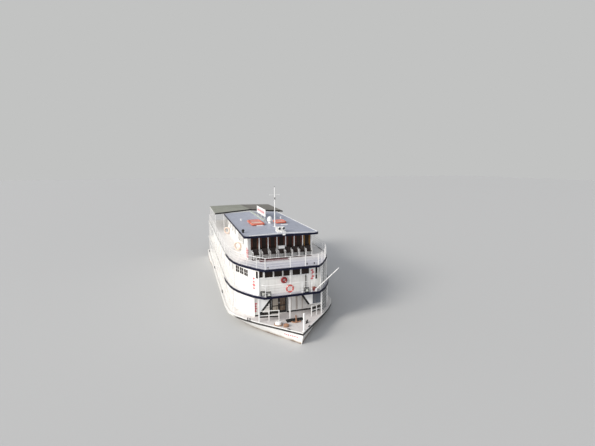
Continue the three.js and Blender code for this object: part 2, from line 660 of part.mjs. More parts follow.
function frontFittings() {
  const postFront = STEM_X - DECK_3_HALF[0][0] - RAIL_INSET + LOW_POST_SIZE / 2;
  const wallFront = STEM_X - HOUSE_2_HALF[0][0];
  place('lifebuoy_rail', 'orange', torus(310, 62).translate(postFront + 62 + GAP, -270, 5130));
  place('lifebuoy_wall', 'red', torus(205, 98).translate(wallFront + 98 + GAP, -640, 5770));
  const seat = (aft, y) => box(
    STEM_X - aft, STEM_X - aft + 240, y - 215, y + 215, DECK_2_TOP + GAP, DECK_2_TOP + 410,
  );
  const batten = box(STEM_X - 3340, STEM_X - 3140, -2500, -2300, DECK_2_TOP + GAP, DECK_2_TOP + 60);
  place('deck_seats_starboard', 'dark', joined([seat(3520, -2615), seat(3220, -2170), batten]));
  place('deck_seat_port', 'dark', seat(3220, 1430));
  // Chairs of the top deck stand in a row on one runner, a little unevenly.
  const chairPlaces = [-2520, -1600, -800, 20, 740, 1460, 2200, 2900];
  const runner = box(STEM_X - 7020, STEM_X - 6400, -2950, 3150, DECK_3_TOP + GAP, DECK_3_TOP + 30);
  const chairs = [runner];
  const x = STEM_X - 6700;
  for (const y of chairPlaces) {
    chairs.push(box(x - 220, x + 220, y - 230, y + 230, DECK_3_TOP + 380, DECK_3_TOP + 450));
    chairs.push(box(x - 260, x - 200, y - 230, y + 230, DECK_3_TOP + 20, DECK_3_TOP + 900));
    chairs.push(box(x + 150, x + 200, y - 220, y + 220, DECK_3_TOP + 20, DECK_3_TOP + 400));
  }
  place('chair_row', 'dark', joined(chairs));
}

// Boom at the port front corner of deck 2, pinned between the cheeks of its step.
const BOOM_X = STEM_X - 3060;
const BOOM_Y = 2330;
const BOOM_Z = DECK_2_TOP + 180;
const BOOM_LENGTH = 3000;
const BOOM_ANGLE = 39;
const BOOM_ROOT = 52;
const BOOM_PIN = 20;
const BOOM_BASE_TOP = DECK_2_TOP + 40;

function boom() {
  const cheekInner = BOOM_ROOT + 18;
  const cheekOuter = cheekInner + 40;
  const alongX = (radius, length, sides) => new THREE.CylinderGeometry(radius, radius, length, sides)
    .rotateZ(Math.PI / 2).translate(BOOM_X, BOOM_Y, BOOM_Z);
  const cheek = (x0, x1) => box(x0, x1, BOOM_Y - 60, BOOM_Y + 60, BOOM_BASE_TOP - 10, BOOM_Z + 70);
  const step = union([
    box(BOOM_X - cheekOuter, BOOM_X + cheekOuter, BOOM_Y - 90, BOOM_Y + 90, DECK_2_TOP + GAP, BOOM_BASE_TOP),
    cheek(BOOM_X - cheekOuter, BOOM_X - cheekInner), cheek(BOOM_X + cheekInner, BOOM_X + cheekOuter),
  ]);
  const bore = alongX(BOOM_PIN + 0.8, cheekOuter * 4, 16);
  place('boom_step', 'white', geometryOf(step.subtract(solidOf(bore))));
  const pole = new THREE.CylinderGeometry(38, BOOM_ROOT, BOOM_LENGTH, 10);
  pole.translate(0, BOOM_LENGTH / 2 - 60, 0);
  pole.rotateX(THREE.MathUtils.degToRad(BOOM_ANGLE)).translate(BOOM_X, BOOM_Y, BOOM_Z);
  place('boom', 'white', joined([pole, alongX(BOOM_PIN, cheekOuter * 2 + 30, 16)]));
}

// Roof fittings.
function roofFittings() {
  const roofAt = (y) => ROOF_EDGE_TOP + ROOF_RISE * (1 - Math.abs(y) / ROOF_HALF) + GAP;
  const mastX = STEM_X - 9500;
  place('mast', 'white', joined([
    box(mastX - 150, mastX + 150, -50, 250, roofAt(0), roofAt(0) + 120),
    upright(mastX, 100, roofAt(0) + 100, 13900, 60, 10, 35),
  ]));
  const dome = [
    [0, 0], [200, 0], [200, 200], [270, 260], [270, 520], [230, 660], [130, 760], [0, 790],
  ].map(([r, z]) => new THREE.Vector2(r, z));
  place('radome', 'white', new THREE.LatheGeometry(dome, 20).rotateX(Math.PI / 2)
    .translate(STEM_X - 12000, 150, roofAt(0)));
  const signY = 350;
  place('sign_board', 'white', joined([
    box(STEM_X - 20000, STEM_X - 15050, signY - 30, signY + 30, 9900, 10760),
    ...[19500, 17550, 15600].map((aft) => box(
      STEM_X - aft, STEM_X - aft + 100, signY - 20, signY + 20, roofAt(signY - 20), 9950,
    )),
  ]));
  // Life rafts: deflated floats lying on the roof. Columns: name, aft end, fore end, y from, y to.
  for (const [name, aft, fore, y0, y1] of [
    ['raft_starboard', 14100, 10950, -2100, -600], ['raft_port', 13250, 11550, 750, 2050],
  ]) {
    const floor = roofAt(Math.min(Math.abs(y0), Math.abs(y1)));
    place(name, 'orange', box(STEM_X - aft, STEM_X - fore, y0, y1, floor, floor + 220));
  }
  const lampX = STEM_X - 6500;
  const lampZ = roofAt(0);
  place('lamp_bracket', 'white', joined([
    box(lampX - 750, lampX + 180, -420, 420, lampZ, lampZ + 60),
    box(lampX - 750, lampX - 430, -420, 420, lampZ + 50, lampZ + 420),
    upright(lampX, 0, lampZ + 50, lampZ + 180, 70, 12),
  ]));
  const lampTop = lampZ + 180 + GAP;
  place('searchlights', 'white', joined([
    box(lampX - 50, lampX + 50, -330, 330, lampTop, lampTop + 60),
    ...[-1, 1].map((side) => new THREE.CylinderGeometry(150, 120, 260, 16).rotateZ(-Math.PI / 2)
      .translate(lampX, side * 210, lampTop + 190)),
  ]));
  const hornX = STEM_X - 7900;
  place('horn', 'dark', joined([
    box(hornX - 100, hornX + 100, -3650, -3450, roofAt(3450), roofAt(3450) + 100),
    new THREE.SphereGeometry(150, 12, 8).translate(hornX, -3550, roofAt(3450) + 220),
  ]));
}

// Stern wheel, the beams that carry it, rudders and engine.
function wheelFlange(y) {
  const hub = 260;
  const rimInner = 1370;
  const rimOuter = 1470;
  const armHalf = 45;
  const shape = new THREE.Shape();
  for (let i = 0; i < WHEEL_ARMS * 2; i += 1) {
    const angle = (i * Math.PI) / WHEEL_ARMS;
    const method = i === 0 ? 'moveTo' : 'lineTo';
    shape[method](rimOuter * Math.cos(angle), rimOuter * Math.sin(angle));
  }
  for (let i = 0; i < WHEEL_ARMS; i += 1) {
    const from = (i * 2 * Math.PI) / WHEEL_ARMS;
    const to = ((i + 1) * 2 * Math.PI) / WHEEL_ARMS;
    const corner = (radius, angle, side) => {
      const swing = angle + side * Math.asin(armHalf / radius);
      return new THREE.Vector2(radius * Math.cos(swing), radius * Math.sin(swing));
    };
    const hole = [
      corner(hub, from, 1), corner(rimInner, from, 1), corner(rimInner, to, -1), corner(hub, to, -1),
    ];
    shape.holes.push(new THREE.Path(hole));
  }
  const geometry = new THREE.ExtrudeGeometry(shape, { depth: 90, bevelEnabled: false });
  return geometry.rotateX(Math.PI / 2).translate(0, y + 45, 0);
}

function sternWheel() {
  const floatDepth = 430;
  const floatThickness = 50;
  const pieces = [crosswise(0, 0, -BEAM_Y - 150, BEAM_Y + 150, SHAFT_RADIUS, 16)];
  for (const y of [-3600, 0, 3600]) {
    pieces.push(wheelFlange(y));
    for (let i = 0; i < WHEEL_ARMS; i += 1) {
      const arm = box(1300, WHEEL_RADIUS - 30, y - 44, y + 44, -44, 44);
      pieces.push(arm.rotateY((i * 2 * Math.PI) / WHEEL_ARMS));
    }
  }
  for (let i = 0; i < WHEEL_ARMS; i += 1) {
    const inner = WHEEL_RADIUS - floatDepth;
    const float = box(inner, WHEEL_RADIUS, -WHEEL_HALF, WHEEL_HALF, 30, 30 + floatThickness);
    pieces.push(float.rotateY((i * 2 * Math.PI) / WHEEL_ARMS));
  }
  place('paddle_wheel', 'red', joined(pieces).translate(WHEEL_X, 0, WHEEL_Z));
  for (const [word, side] of [['port', 1], ['starboard', -1]]) {
    const y = side * BEAM_Y;
    const beam = profile([
      [STERN_X - GAP, 1300], [STERN_X - GAP, 1840], [WHEEL_X - 600, 2200], [WHEEL_X - 600, 1950],
      [WHEEL_X - 300, 1900],
    ], y - 110, y + 110);
    const block = box(WHEEL_X - 260, WHEEL_X + 260, y - 110, y + 110, 2000, WHEEL_Z + 230);
    const bore = crosswise(WHEEL_X, WHEEL_Z, y - 300, y + 300, SHAFT_RADIUS + 1.6, 24);
    place(`wheel_beam_${word}`, 'white', geometryOf(union([beam, block]).subtract(solidOf(bore))));
  }
}

function rudders() {
  for (const [word, side] of [['port', 1], ['starboard', -1]]) {
    const y = side * RUDDER_Y;
    place(`rudder_${word}`, 'iron', joined([
      upright(RUDDER_X, y, 200, TILLER_TOP, STOCK, 12),
      upright(RUDDER_X, y, GUDGEON_TOP + GAP, GUDGEON_TOP + 50, STOCK + 35, 12),
      box(RUDDER_X - 800, RUDDER_X + 20, y - 30, y + 30, 150, 950),
      box(RUDDER_X - 360, RUDDER_X, y - 30, y + 30, TILLER_TOP - 80, TILLER_TOP - 20),
    ]));
  }
}

hull();
decks();
houses();
cabin();
doors();
roofs();
rails();
canopyFrame();
bow();
frontFittings();
boom();
roofFittings();
sternWheel();
rudders();
place('engine', 'iron', box(-13200, -9200, -1200, 1200, MAIN_DECK_TOP + GAP, MAIN_DECK_TOP + 1500));

export default boat;
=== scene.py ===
import math

import bmesh
import bpy
from mathutils import Matrix, Vector


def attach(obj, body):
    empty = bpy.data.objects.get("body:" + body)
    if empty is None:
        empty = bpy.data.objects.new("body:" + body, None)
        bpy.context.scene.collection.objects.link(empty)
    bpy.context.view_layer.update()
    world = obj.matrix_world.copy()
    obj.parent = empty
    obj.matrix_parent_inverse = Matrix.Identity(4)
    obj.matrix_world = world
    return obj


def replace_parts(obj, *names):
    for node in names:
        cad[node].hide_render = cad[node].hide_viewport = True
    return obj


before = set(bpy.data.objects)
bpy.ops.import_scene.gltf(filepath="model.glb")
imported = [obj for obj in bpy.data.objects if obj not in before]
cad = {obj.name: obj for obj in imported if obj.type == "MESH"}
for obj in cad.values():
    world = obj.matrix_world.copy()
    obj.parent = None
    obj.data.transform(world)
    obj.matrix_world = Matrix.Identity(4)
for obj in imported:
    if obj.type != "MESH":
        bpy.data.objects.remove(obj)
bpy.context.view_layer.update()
scene = bpy.context.scene
scene.view_settings.view_transform = "Standard"

# Viewpoint: high off the starboard bow, looking down along the boat.
# Three axes of the camera are given as the columns of its place in the boat's frame.
camera = bpy.data.objects.new("viewpoint", bpy.data.cameras.new("viewpoint"))
scene.collection.objects.link(camera)
camera.data.sensor_width = 36
camera.data.lens = 20.995
camera.data.clip_end = 1000
look_right = Vector((0.31091, 0.95044, -0.0002))
look_up = Vector((-0.15411, 0.05061, 0.98676))
look_back = Vector((0.93786, -0.30676, 0.16220))
camera.matrix_world = Matrix((look_right, look_up, look_back)).transposed().to_4x4()
camera.matrix_world.translation = (42.744, -8.898, 16.006)
scene.camera = camera


# Studio: a plain pale floor at the waterline, a soft low sun off the starboard beam and a pale sky.
# The sky is brighter on the sun's side, and seen past the floor's edge it is as pale as the floor.
def feed(tree, socket, value):
    if isinstance(value, bpy.types.NodeSocket):
        tree.links.new(value, socket)
    else:
        socket.default_value = value


def put(tree, kind, feeds=(), out=0, **options):
    """Adds a node, sets its options, feeds its inputs and gives back one of its outputs."""
    node = tree.nodes.new(kind)
    for option, value in options.items():
        setattr(node, option, value)
    for key, value in dict(feeds).items():
        feed(tree, node.inputs[key], value)
    return node.outputs[out]


def spread(tree, value, low, high, out_low=0.0, out_high=1.0):
    return put(tree, "ShaderNodeMapRange", enumerate((value, low, high, out_low, out_high)))


WATERLINE = 1.0
FLOOR_REACH = 400
FLOOR_CORNERS = ((-1, -1), (1, -1), (1, 1), (-1, 1))
floor_mesh = bpy.data.meshes.new("floor")
floor_points = [(x * FLOOR_REACH, y * FLOOR_REACH, WATERLINE) for x, y in FLOOR_CORNERS]
floor_mesh.from_pydata(floor_points, [], [(0, 1, 2, 3)])
floor = bpy.data.objects.new("floor", floor_mesh)
scene.collection.objects.link(floor)
floor_paint = bpy.data.materials.new("floor_paint")
floor_paint.use_nodes = True
floor_shader = floor_paint.node_tree.nodes["Principled BSDF"]
floor_shader.inputs["Base Color"].default_value = (0.47, 0.47, 0.46, 1)
floor_shader.inputs["Roughness"].default_value = 0.9
floor.data.materials.append(floor_paint)
sun = bpy.data.objects.new("soft_sun", bpy.data.lights.new("soft_sun", "SUN"))
sun.data.energy = 3.1
sun.data.angle = math.radians(20)
sun.data.color = (1.0, 0.96, 0.90)
sun.rotation_euler = Vector((-0.27, 0.86, -0.46)).to_track_quat("-Z", "Y").to_euler()
scene.collection.objects.link(sun)
sky = bpy.data.worlds.new("sky")
sky.use_nodes = True
sky_tree = sky.node_tree
BRIGHT_SIDE = (0.55, -0.75, 0.36)
gaze = put(sky_tree, "ShaderNodeTexCoord")
toward = put(sky_tree, "ShaderNodeVectorMath", {0: gaze, 1: BRIGHT_SIDE}, "Value", operation="DOT_PRODUCT")
glow = sky_tree.nodes["Background"]
feed(sky_tree, glow.inputs["Color"], (0.90, 0.93, 1.0, 1))
feed(sky_tree, glow.inputs["Strength"], spread(sky_tree, toward, -0.55, 0.85, 0.13, 1.22))
backdrop = put(sky_tree, "ShaderNodeBackground", {"Color": (0.54, 0.545, 0.54, 1)})
seen = put(sky_tree, "ShaderNodeLightPath", out="Is Camera Ray")
feed(sky_tree, sky_tree.nodes["World Output"].inputs["Surface"],
     put(sky_tree, "ShaderNodeMixShader", {0: seen, 1: glow.outputs[0], 2: backdrop}))
scene.world = sky


# Hull: welded steel plate, white above, near-black red-brown from just above the waterline down, with a brown
# tide mark.
# The plates are butt welded; their seams run round the hull and show as faint lines.
def group(name, inputs, outputs, kind="ShaderNodeTree"):
    tree = bpy.data.node_groups.new(name, kind)
    for socket, sort, *value in inputs:
        made = tree.interface.new_socket(socket, in_out="INPUT", socket_type="NodeSocket" + sort)
        if value:
            made.default_value = value[0]
    for socket, sort in outputs:
        tree.interface.new_socket(socket, in_out="OUTPUT", socket_type="NodeSocket" + sort)
    return tree, tree.nodes.new("NodeGroupInput").outputs, tree.nodes.new("NodeGroupOutput").inputs


def calc(tree, kind, a, b=0.5, clamp=False):
    return put(tree, "ShaderNodeMath", {0: a, 1: b}, operation=kind, use_clamp=clamp)


def mixed(tree, factor, a, b, blend="MIX"):
    return put(tree, "ShaderNodeMix", {0: factor, 6: a, 7: b}, 2, data_type="RGBA", blend_type=blend)


def noise(tree, vector, scale, detail, rough=0.55):
    feeds = {"Vector": vector, "Scale": scale, "Detail": detail, "Roughness": rough}
    return put(tree, "ShaderNodeTexNoise", feeds, "Fac")


def object_place(tree):
    return put(tree, "ShaderNodeTexCoord", out="Object")


def coordinate(tree, axis):
    return put(tree, "ShaderNodeSeparateXYZ", {0: object_place(tree)}, axis)


# Weather is the wear that every painted part shares: chalking, grime in drips and a fine orange-peel skin.
weather, wear_in, wear_out = group(
    "weather",
    (("Colour", "Color", (1, 1, 1, 1)), ("Grime", "Color", (0.2, 0.15, 0.1, 1)), ("Amount", "Float", 0.3),
     ("Gloss", "Float", 0.45), ("Drip", "Float", 0.25)),
    (("Colour", "Color"), ("Roughness", "Float"), ("Height", "Float")),
)
place = object_place(weather)
squeeze = put(weather, "ShaderNodeCombineXYZ", {0: 1, 1: 1, 2: wear_in["Drip"]})
stretched = put(weather, "ShaderNodeVectorMath", {0: place, 1: squeeze}, operation="MULTIPLY")
drips = spread(weather, noise(weather, stretched, 3.2, 7, 0.62), 0.52, 0.78)
clouds = noise(weather, place, 0.45, 3)
dirty = calc(weather, "MULTIPLY", drips, wear_in["Amount"], True)
chalky = spread(weather, clouds, 0.3, 0.7, 0.0, 0.14)
chalk = mixed(weather, chalky, wear_in["Colour"], (0.55, 0.55, 0.55, 1), "MULTIPLY")
worn = calc(weather, "ADD", spread(weather, clouds, 0.3, 0.7, -0.06, 0.1), wear_in["Gloss"])
skin = calc(weather, "MULTIPLY", noise(weather, place, 42, 3), 0.3)
feed(weather, wear_out["Colour"], mixed(weather, dirty, chalk, wear_in["Grime"]))
feed(weather, wear_out["Roughness"], calc(weather, "ADD", worn, calc(weather, "MULTIPLY", dirty, 0.3), True))
feed(weather, wear_out["Height"], calc(weather, "ADD", skin, drips))

# Seams draws joints at a chosen spacing along each axis; a spacing of 900 m puts none.
seams, joint_in, joint_out = group(
    "seams",
    (("Along", "Float", 900.0), ("Across", "Float", 900.0), ("Up", "Float", 900.0), ("Width", "Float", 0.01)),
    (("Mask", "Float"), ("Height", "Float")),
)
facing = put(seams, "ShaderNodeSeparateXYZ", {0: put(seams, "ShaderNodeTexCoord", out="Normal")}).node.outputs
lines = 0.0
for axis, pitch in enumerate(("Along", "Across", "Up")):
    turned = calc(seams, "FRACT", calc(seams, "DIVIDE", coordinate(seams, axis), joint_in[pitch]))
    off = calc(seams, "ABSOLUTE", calc(seams, "SUBTRACT", turned, 0.5))
    gap = calc(seams, "MULTIPLY", calc(seams, "SUBTRACT", 0.5, off), joint_in[pitch])
    near = calc(seams, "SUBTRACT", 1.0, calc(seams, "DIVIDE", gap, joint_in["Width"]), True)
    flat = calc(seams, "LESS_THAN", calc(seams, "ABSOLUTE", facing[axis]), 0.8)
    lines = calc(seams, "MAXIMUM", lines, calc(seams, "MULTIPLY", near, flat))
feed(seams, joint_out["Mask"], lines)
feed(seams, joint_out["Height"], calc(seams, "SUBTRACT", 1.0, lines))


def paint(name, colour, grime=(0.22, 0.17, 0.12), amount=0.3, gloss=0.45, drip=0.25, joints=None, metal=0.0,
          seam_shade=0.35, relief=0.004):
    made = bpy.data.materials.new(name)
    made.use_nodes = True
    tree = made.node_tree
    feeds = {"Colour": (*colour, 1), "Grime": (*grime, 1), "Amount": amount, "Gloss": gloss, "Drip": drip}
    wear = put(tree, "ShaderNodeGroup", feeds, node_tree=weather).node.outputs
    tint, height = wear["Colour"], wear["Height"]
    if joints:
        lay = put(tree, "ShaderNodeGroup", joints, node_tree=seams).node.outputs
        tint = mixed(tree, calc(tree, "MULTIPLY", lay["Mask"], seam_shade), tint, (*grime, 1))
        height = calc(tree, "ADD", height, calc(tree, "MULTIPLY", lay["Height"], 6.0))
    bump = put(tree, "ShaderNodeBump", {"Strength": 0.35, "Distance": relief, "Height": height})
    shine = 0.5 if max(colour) > 0.1 or metal else 0.2
    surface = {"Base Color": tint, "Roughness": wear["Roughness"], "Normal": bump, "Metallic": metal,
               "Specular IOR Level": shine}
    for key, value in surface.items():
        feed(tree, tree.nodes["Principled BSDF"].inputs[key], value)
    return made


def coat_over(finish, factor, colour, blend="MIX"):
    tree = finish.node_tree
    base = tree.nodes["Principled BSDF"].inputs["Base Color"]
    feed(tree, base, mixed(tree, factor, base.links[0].from_socket, colour, blend))


def raise_over(finish, height):
    tree = finish.node_tree
    relief = tree.nodes["Bump"].inputs["Height"]
    feed(tree, relief, calc(tree, "ADD", relief.links[0].from_socket, height))


def dress(material, *names):
    for name in names:
        cad[name].data.materials.clear()
        cad[name].data.materials.append(material)


BRIGHT_WHITE = (0.87, 0.86, 0.835)
plate_seams = {"Along": 2.6, "Width": 0.012}
hull_paint = paint("hull_paint", BRIGHT_WHITE, amount=0.22, gloss=0.38, drip=0.16, joints=plate_seams)
hull_tree = hull_paint.node_tree
ragged = spread(hull_tree, noise(hull_tree, object_place(hull_tree), 1.6, 5), 0.3, 0.7, -0.07, 0.07)
level = calc(hull_tree, "ADD", coordinate(hull_tree, 2), ragged)
coat_over(hull_paint, spread(hull_tree, level, 1.30, 1.08, 0.0, 0.75), (0.30, 0.19, 0.08, 1))
# Near-black red-brown from 1.06 m down, so a dark band runs just above the floor line.
coat_over(hull_paint, spread(hull_tree, level, 1.06, 1.03), (0.12, 0.05, 0.03, 1))
dress(hull_paint, "hull")


# Rubbing strake: a timber and rubber band round the gunwale, black at the bow and white along the sides.
# It is bolted to the hull's side as a fender.
def painted_aft(coat, from_x, to_x, colour):
    tree = coat.node_tree
    coat_over(coat, spread(tree, coordinate(tree, 0), from_x, to_x), colour)
    return coat


strake_rubber = paint("strake_rubber", (0.035, 0.032, 0.03), (0.3, 0.28, 0.25), 0.35, 0.6, 1.0)
dress(painted_aft(strake_rubber, 12.0, 11.2, (0.66, 0.64, 0.60, 1)), "rubbing_strake")

# Decks: steel sheet with non-slip paint, lapped in sheets. The galleries are painted nearly white as painted
# light from the sunlit walls; painted shade darkens them toward the bow, lilac-grey on the upper foredecks and
# a warmer grey on the bow deck.
# The white kerb round the main deck is a welded flat bar.
LIT_GALLERY_PALE = (0.80, 0.775, 0.745)
for name, shaded_fore_colour, decks in (("deck_paint", (0.50, 0.495, 0.545), ("deck_2", "deck_3")),
                                 ("bow_deck_paint", (0.66, 0.62, 0.60), ("main_deck",))):
    deck_coat = paint(name, LIT_GALLERY_PALE, (0.30, 0.28, 0.27), 0.4, 0.62, 1.0,
                      {"Along": 2.4, "Across": 1.2, "Width": 0.014})
    deck_tree = deck_coat.node_tree
    fore_shade_tint = (*(fore / pale for fore, pale in zip(shaded_fore_colour, LIT_GALLERY_PALE)), 1)
    # The pale gallery colour is painted light; the darker fore tint, blended in toward the bow, is painted
    # shade.
    shade_toward_bow = spread(deck_tree, coordinate(deck_tree, 0), 10.0, 12.6)
    coat_over(deck_coat, 1.0, mixed(deck_tree, shade_toward_bow, (1, 1, 1, 1), fore_shade_tint), "MULTIPLY")
    dress(deck_coat, *decks)
white_paint = paint("white_paint", BRIGHT_WHITE, amount=0.2, gloss=0.4)

DECK_1, DECK_2, DECK_3 = 2.1, 4.5, 7.0
STEM, STERN = 17.0, -16.0
GUNWALE = ((0, 0.0), (1.6, 1.57), (3.2, 3.16), (4.3, 4.13), (5.3, 4.83), (6.5, 5.33), (8.2, 5.47))
DECK_2_EDGE = ((2.77, 2.6), (3.63, 3.5), (4.57, 4.13), (5.39, 4.59), (6.19, 4.91), (7.1, 5.13), (8.9, 5.34))
DECK_3_EDGE = ((2.8, 2.55), (3.6, 3.24), (4.67, 3.93), (5.55, 4.45), (6.57, 4.8), (8.0, 5.05), (10.9, 5.21))


def moved_in(loop, inset):
    moved = []
    for i, point in enumerate(loop):
        one = (point - loop[i - 1]).normalized()
        two = (loop[(i + 1) % len(loop)] - point).normalized()
        out = Vector((one.y + two.y, -one.x - two.x)).normalized()
        moved.append(point - out * inset / (out.x * one.y - out.y * one.x))
    return moved


def shade(bm):
    bmesh.ops.recalc_face_normals(bm, faces=bm.faces)
    for edge in bm.edges:
        edge.smooth = len(edge.link_faces) == 2 and edge.calc_face_angle(3.2) < math.radians(35)
    for face in bm.faces:
        face.smooth = True


def piece(name, bm, material, body="boat"):
    shade(bm)
    mesh = bpy.data.meshes.new(name)
    bm.to_mesh(mesh)
    bm.free()
    mesh.materials.append(material)
    made = bpy.data.objects.new(name, mesh)
    scene.collection.objects.link(made)
    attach(made, body)
    return made


def bridge(bm, rings, closed=False):
    """Joins rings of as many points each, and caps the ends of an open run."""
    for one, two in zip(rings, rings[1:] + rings[:1] if closed else rings[1:]):
        for k in range(len(one)):
            bm.faces.new((one[k], one[(k + 1) % len(one)], two[(k + 1) % len(one)], two[k]))
    if not closed:
        bm.faces.new(rings[0][::-1])
        bm.faces.new(rings[-1])


gunwale = [Vector((STEM - aft, width)) for aft, width in GUNWALE] + [Vector((STERN, GUNWALE[-1][1]))]
gunwale += [Vector((p.x, -p.y)) for p in reversed(gunwale) if p.y > 0]
kerb_inner = moved_in(gunwale, 0.035)
kerbs = bmesh.new()
bridge(kerbs, [[kerbs.verts.new((*p, z)) for p, z in ((a, DECK_1), (b, DECK_1), (b, 2.17), (a, 2.17))]
               for a, b in zip(kerb_inner, moved_in(kerb_inner, -0.05))], True)
piece("deck_kerbs", kerbs, white_paint)

# Deck edge bands: pressed steel, bolted to the edge of each deck and of the roof.
# They are sprayed navy round the bow, and white along the side galleries.
NAVY = ((0.003, 0.004, 0.020), (0.03, 0.03, 0.04), 0.25, 0.5, 0.25, {"Along": 3.0, "Width": 0.01})
dress(paint("navy_paint", *NAVY), "roof_fascia")
band_paint = painted_aft(paint("band_paint", *NAVY), 7.6, 6.9, (0.70, 0.69, 0.66, 1))
dress(band_paint, "deck_2_fascia", "deck_3_fascia")

# Houses: sheet steel walls lined with upright boards, off-white, streaked below the sills.
# The panes of each row are a strip of dark glass bedded behind the openings.
house_paint = paint("house_paint", (0.85, 0.835, 0.79), (0.33, 0.27, 0.2), 0.3, 0.5, 0.12,
                    {"Along": 0.3, "Across": 0.3, "Width": 0.008}, seam_shade=0.22)
dress(house_paint, "main_house", "deck_2_house", "top_cabin")
glass = paint("window_glass", (0.016, 0.010, 0.008), (0.07, 0.035, 0.02), 0.6, 0.08, 0.3, relief=0.0005)
dress(glass, "main_house_glazing", "main_aft_glazing", "deck_2_glazing", "top_cabin_glazing")
FRONT_1, FRONT_2 = 12.4, 13.48


def add_box(bm, low, high, turn=0.0, about=(0, 0, 0)):
    spin = Matrix.Translation(about) @ Matrix.Rotation(turn, 4, "Z")
    (x0, y0, z0), (x1, y1, z1) = low, high
    corners = [bm.verts.new(spin @ Vector((x, y, z))) for z in (z0, z1)
               for x, y in ((x0, y0), (x1, y0), (x1, y1), (x0, y1))]
    for face in ((3, 2, 1, 0), (4, 5, 6, 7), (0, 1, 5, 4), (1, 2, 6, 5), (2, 3, 7, 6), (3, 0, 4, 7)):
        bm.faces.new([corners[i] for i in face])


def soften(bm, width, segments=1, angle=40):
    edges = [e for e in bm.edges if len(e.link_faces) == 2 and e.calc_face_angle(0) > math.radians(angle)]
    bmesh.ops.bevel(bm, geom=edges, offset=width, segments=segments, affect="EDGES", clamp_overlap=True)


def boxed(spans, soft=0.0, segments=1):
    """A mesh of boxes, each given by its low and its high corner, with its edges softened."""
    bm = bmesh.new()
    for low, high in spans:
        add_box(bm, low, high)
    if soft:
        soften(bm, soft, segments)
    return bm


# Copies: one tree sets a pattern piece at each point of a list, turned and scaled as the point says.
def close_tree(tree, mesh, finish, result):
    real = put(tree, "GeometryNodeRealizeInstances", {0: mesh})
    feed(tree, result, put(tree, "GeometryNodeSetMaterial", {"Geometry": real, "Material": finish}))


def at_point(tree, name):
    return put(tree, "GeometryNodeInputNamedAttribute", {"Name": name}, "Attribute", data_type="FLOAT_VECTOR")


MESH_OUT = (("Geometry", "Geometry"),)
copies, copy_in, copy_out = group(
    "copies at places",
    (("Places", "Geometry"), ("Pattern", "Object"), ("Finish", "Material")),
    MESH_OUT, "GeometryNodeTree",
)
pattern_mesh = put(copies, "GeometryNodeObjectInfo", {"Object": copy_in["Pattern"]}, "Geometry")
turns = put(copies, "FunctionNodeEulerToRotation", {0: at_point(copies, "turn")})
set_down = {"Points": copy_in["Places"], "Instance": pattern_mesh, "Rotation": turns,
            "Scale": at_point(copies, "size")}
close_tree(copies, put(copies, "GeometryNodeInstanceOnPoints", set_down), copy_in["Finish"], copy_out[0])


def grown(name, mesh, tree, values, body):
    seed = bpy.data.objects.new(name + "_seed", mesh)
    scene.collection.objects.link(seed)
    modifier = seed.modifiers.new("grow", "NODES")
    modifier.node_group = tree
    for item in tree.interface.items_tree:
        if item.in_out == "INPUT" and item.name in values:
            modifier[item.identifier] = values[item.name]
    graph = bpy.context.evaluated_depsgraph_get()
    plain_mesh = bpy.data.meshes.new_from_object(seed.evaluated_get(graph), depsgraph=graph)
    bpy.data.objects.remove(seed)
    plain_mesh.name = name
    made = bpy.data.objects.new(name, plain_mesh)
    scene.collection.objects.link(made)
    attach(made, body)


def set_copies(name, pattern, places, material, body="boat"):
    """Places are (x, y, z, turn about z), or have three turns, or end with a size."""
    shade(pattern)
    mesh = bpy.data.meshes.new(name + "_pattern")
    pattern.to_mesh(mesh)
    pattern.free()
    holder = bpy.data.objects.new(name + "_pattern", mesh)
    scene.collection.objects.link(holder)
    points = bpy.data.meshes.new(name + "_places")
    points.from_pydata([p[:3] for p in places], [], [])
    for key, values in (("turn", [p[3] if isinstance(p[3], tuple) else (0, 0, p[3]) for p in places]),
                        ("size", [p[4] if len(p) > 4 else (1, 1, 1) for p in places])):
        layer = points.attributes.new(key, "FLOAT_VECTOR", "POINT")
        for item, value in zip(layer.data, values):
            item.vector = value
    grown(name, points, copies, {"Pattern": holder, "Finish": material}, body)
    bpy.data.objects.remove(holder)


# Window casings: white pressed frames screwed round each opening, with a drip sill.
# Wide windows have a bar down the middle where the two sliding panes meet.
def casing(width, height, board=0.055, bar=True, sill=True):
    w, h, proud = width / 2, height / 2, 0.028
    spans = [((0, -w - board, h), (proud, w + board, h + board)),
             ((0, -w - board, -h - board), (proud, w + board, -h)),
             ((0, -w - board, -h), (proud, -w, h)),
             ((0, w, -h), (proud, w + board, h))]
    if bar:
        spans.append(((-0.05, -0.02, -h), (0.01, 0.02, h)))
    if sill:
        spans.append(((0, -w - board * 1.4, -h - board - 0.03), (proud + 0.03, w + board * 1.4, -h - board)))
    spans += [((-0.055, -w, z - 0.015), (-0.02, w, z + 0.015)) for z in (-h, h)]
    spans += [((-0.055, y - 0.015, -h), (-0.02, y + 0.015, h)) for y in (-w, w)]
    return boxed(spans)


BOW_WALL = [Vector(p) for p in ((FRONT_2, 2.97), (12.7, 3.59), (10.3, 4.5), (9.3, 4.56))]


def on_bow_wall(part, along, z, out=0.0):
    a, b = BOW_WALL[part], BOW_WALL[part + 1]
    run = (b - a).normalized()
    at = a + run * along + Vector((run.y, -run.x)) * out
    turn = math.atan2(-run.x, run.y)
    return [(at.x, side * at.y, z, side * turn) for side in (-1, 1)]


def both_sides(xs, y, z):
    return [(x, side * y, z, side * math.pi / 2) for x in xs for side in (-1, 1)]


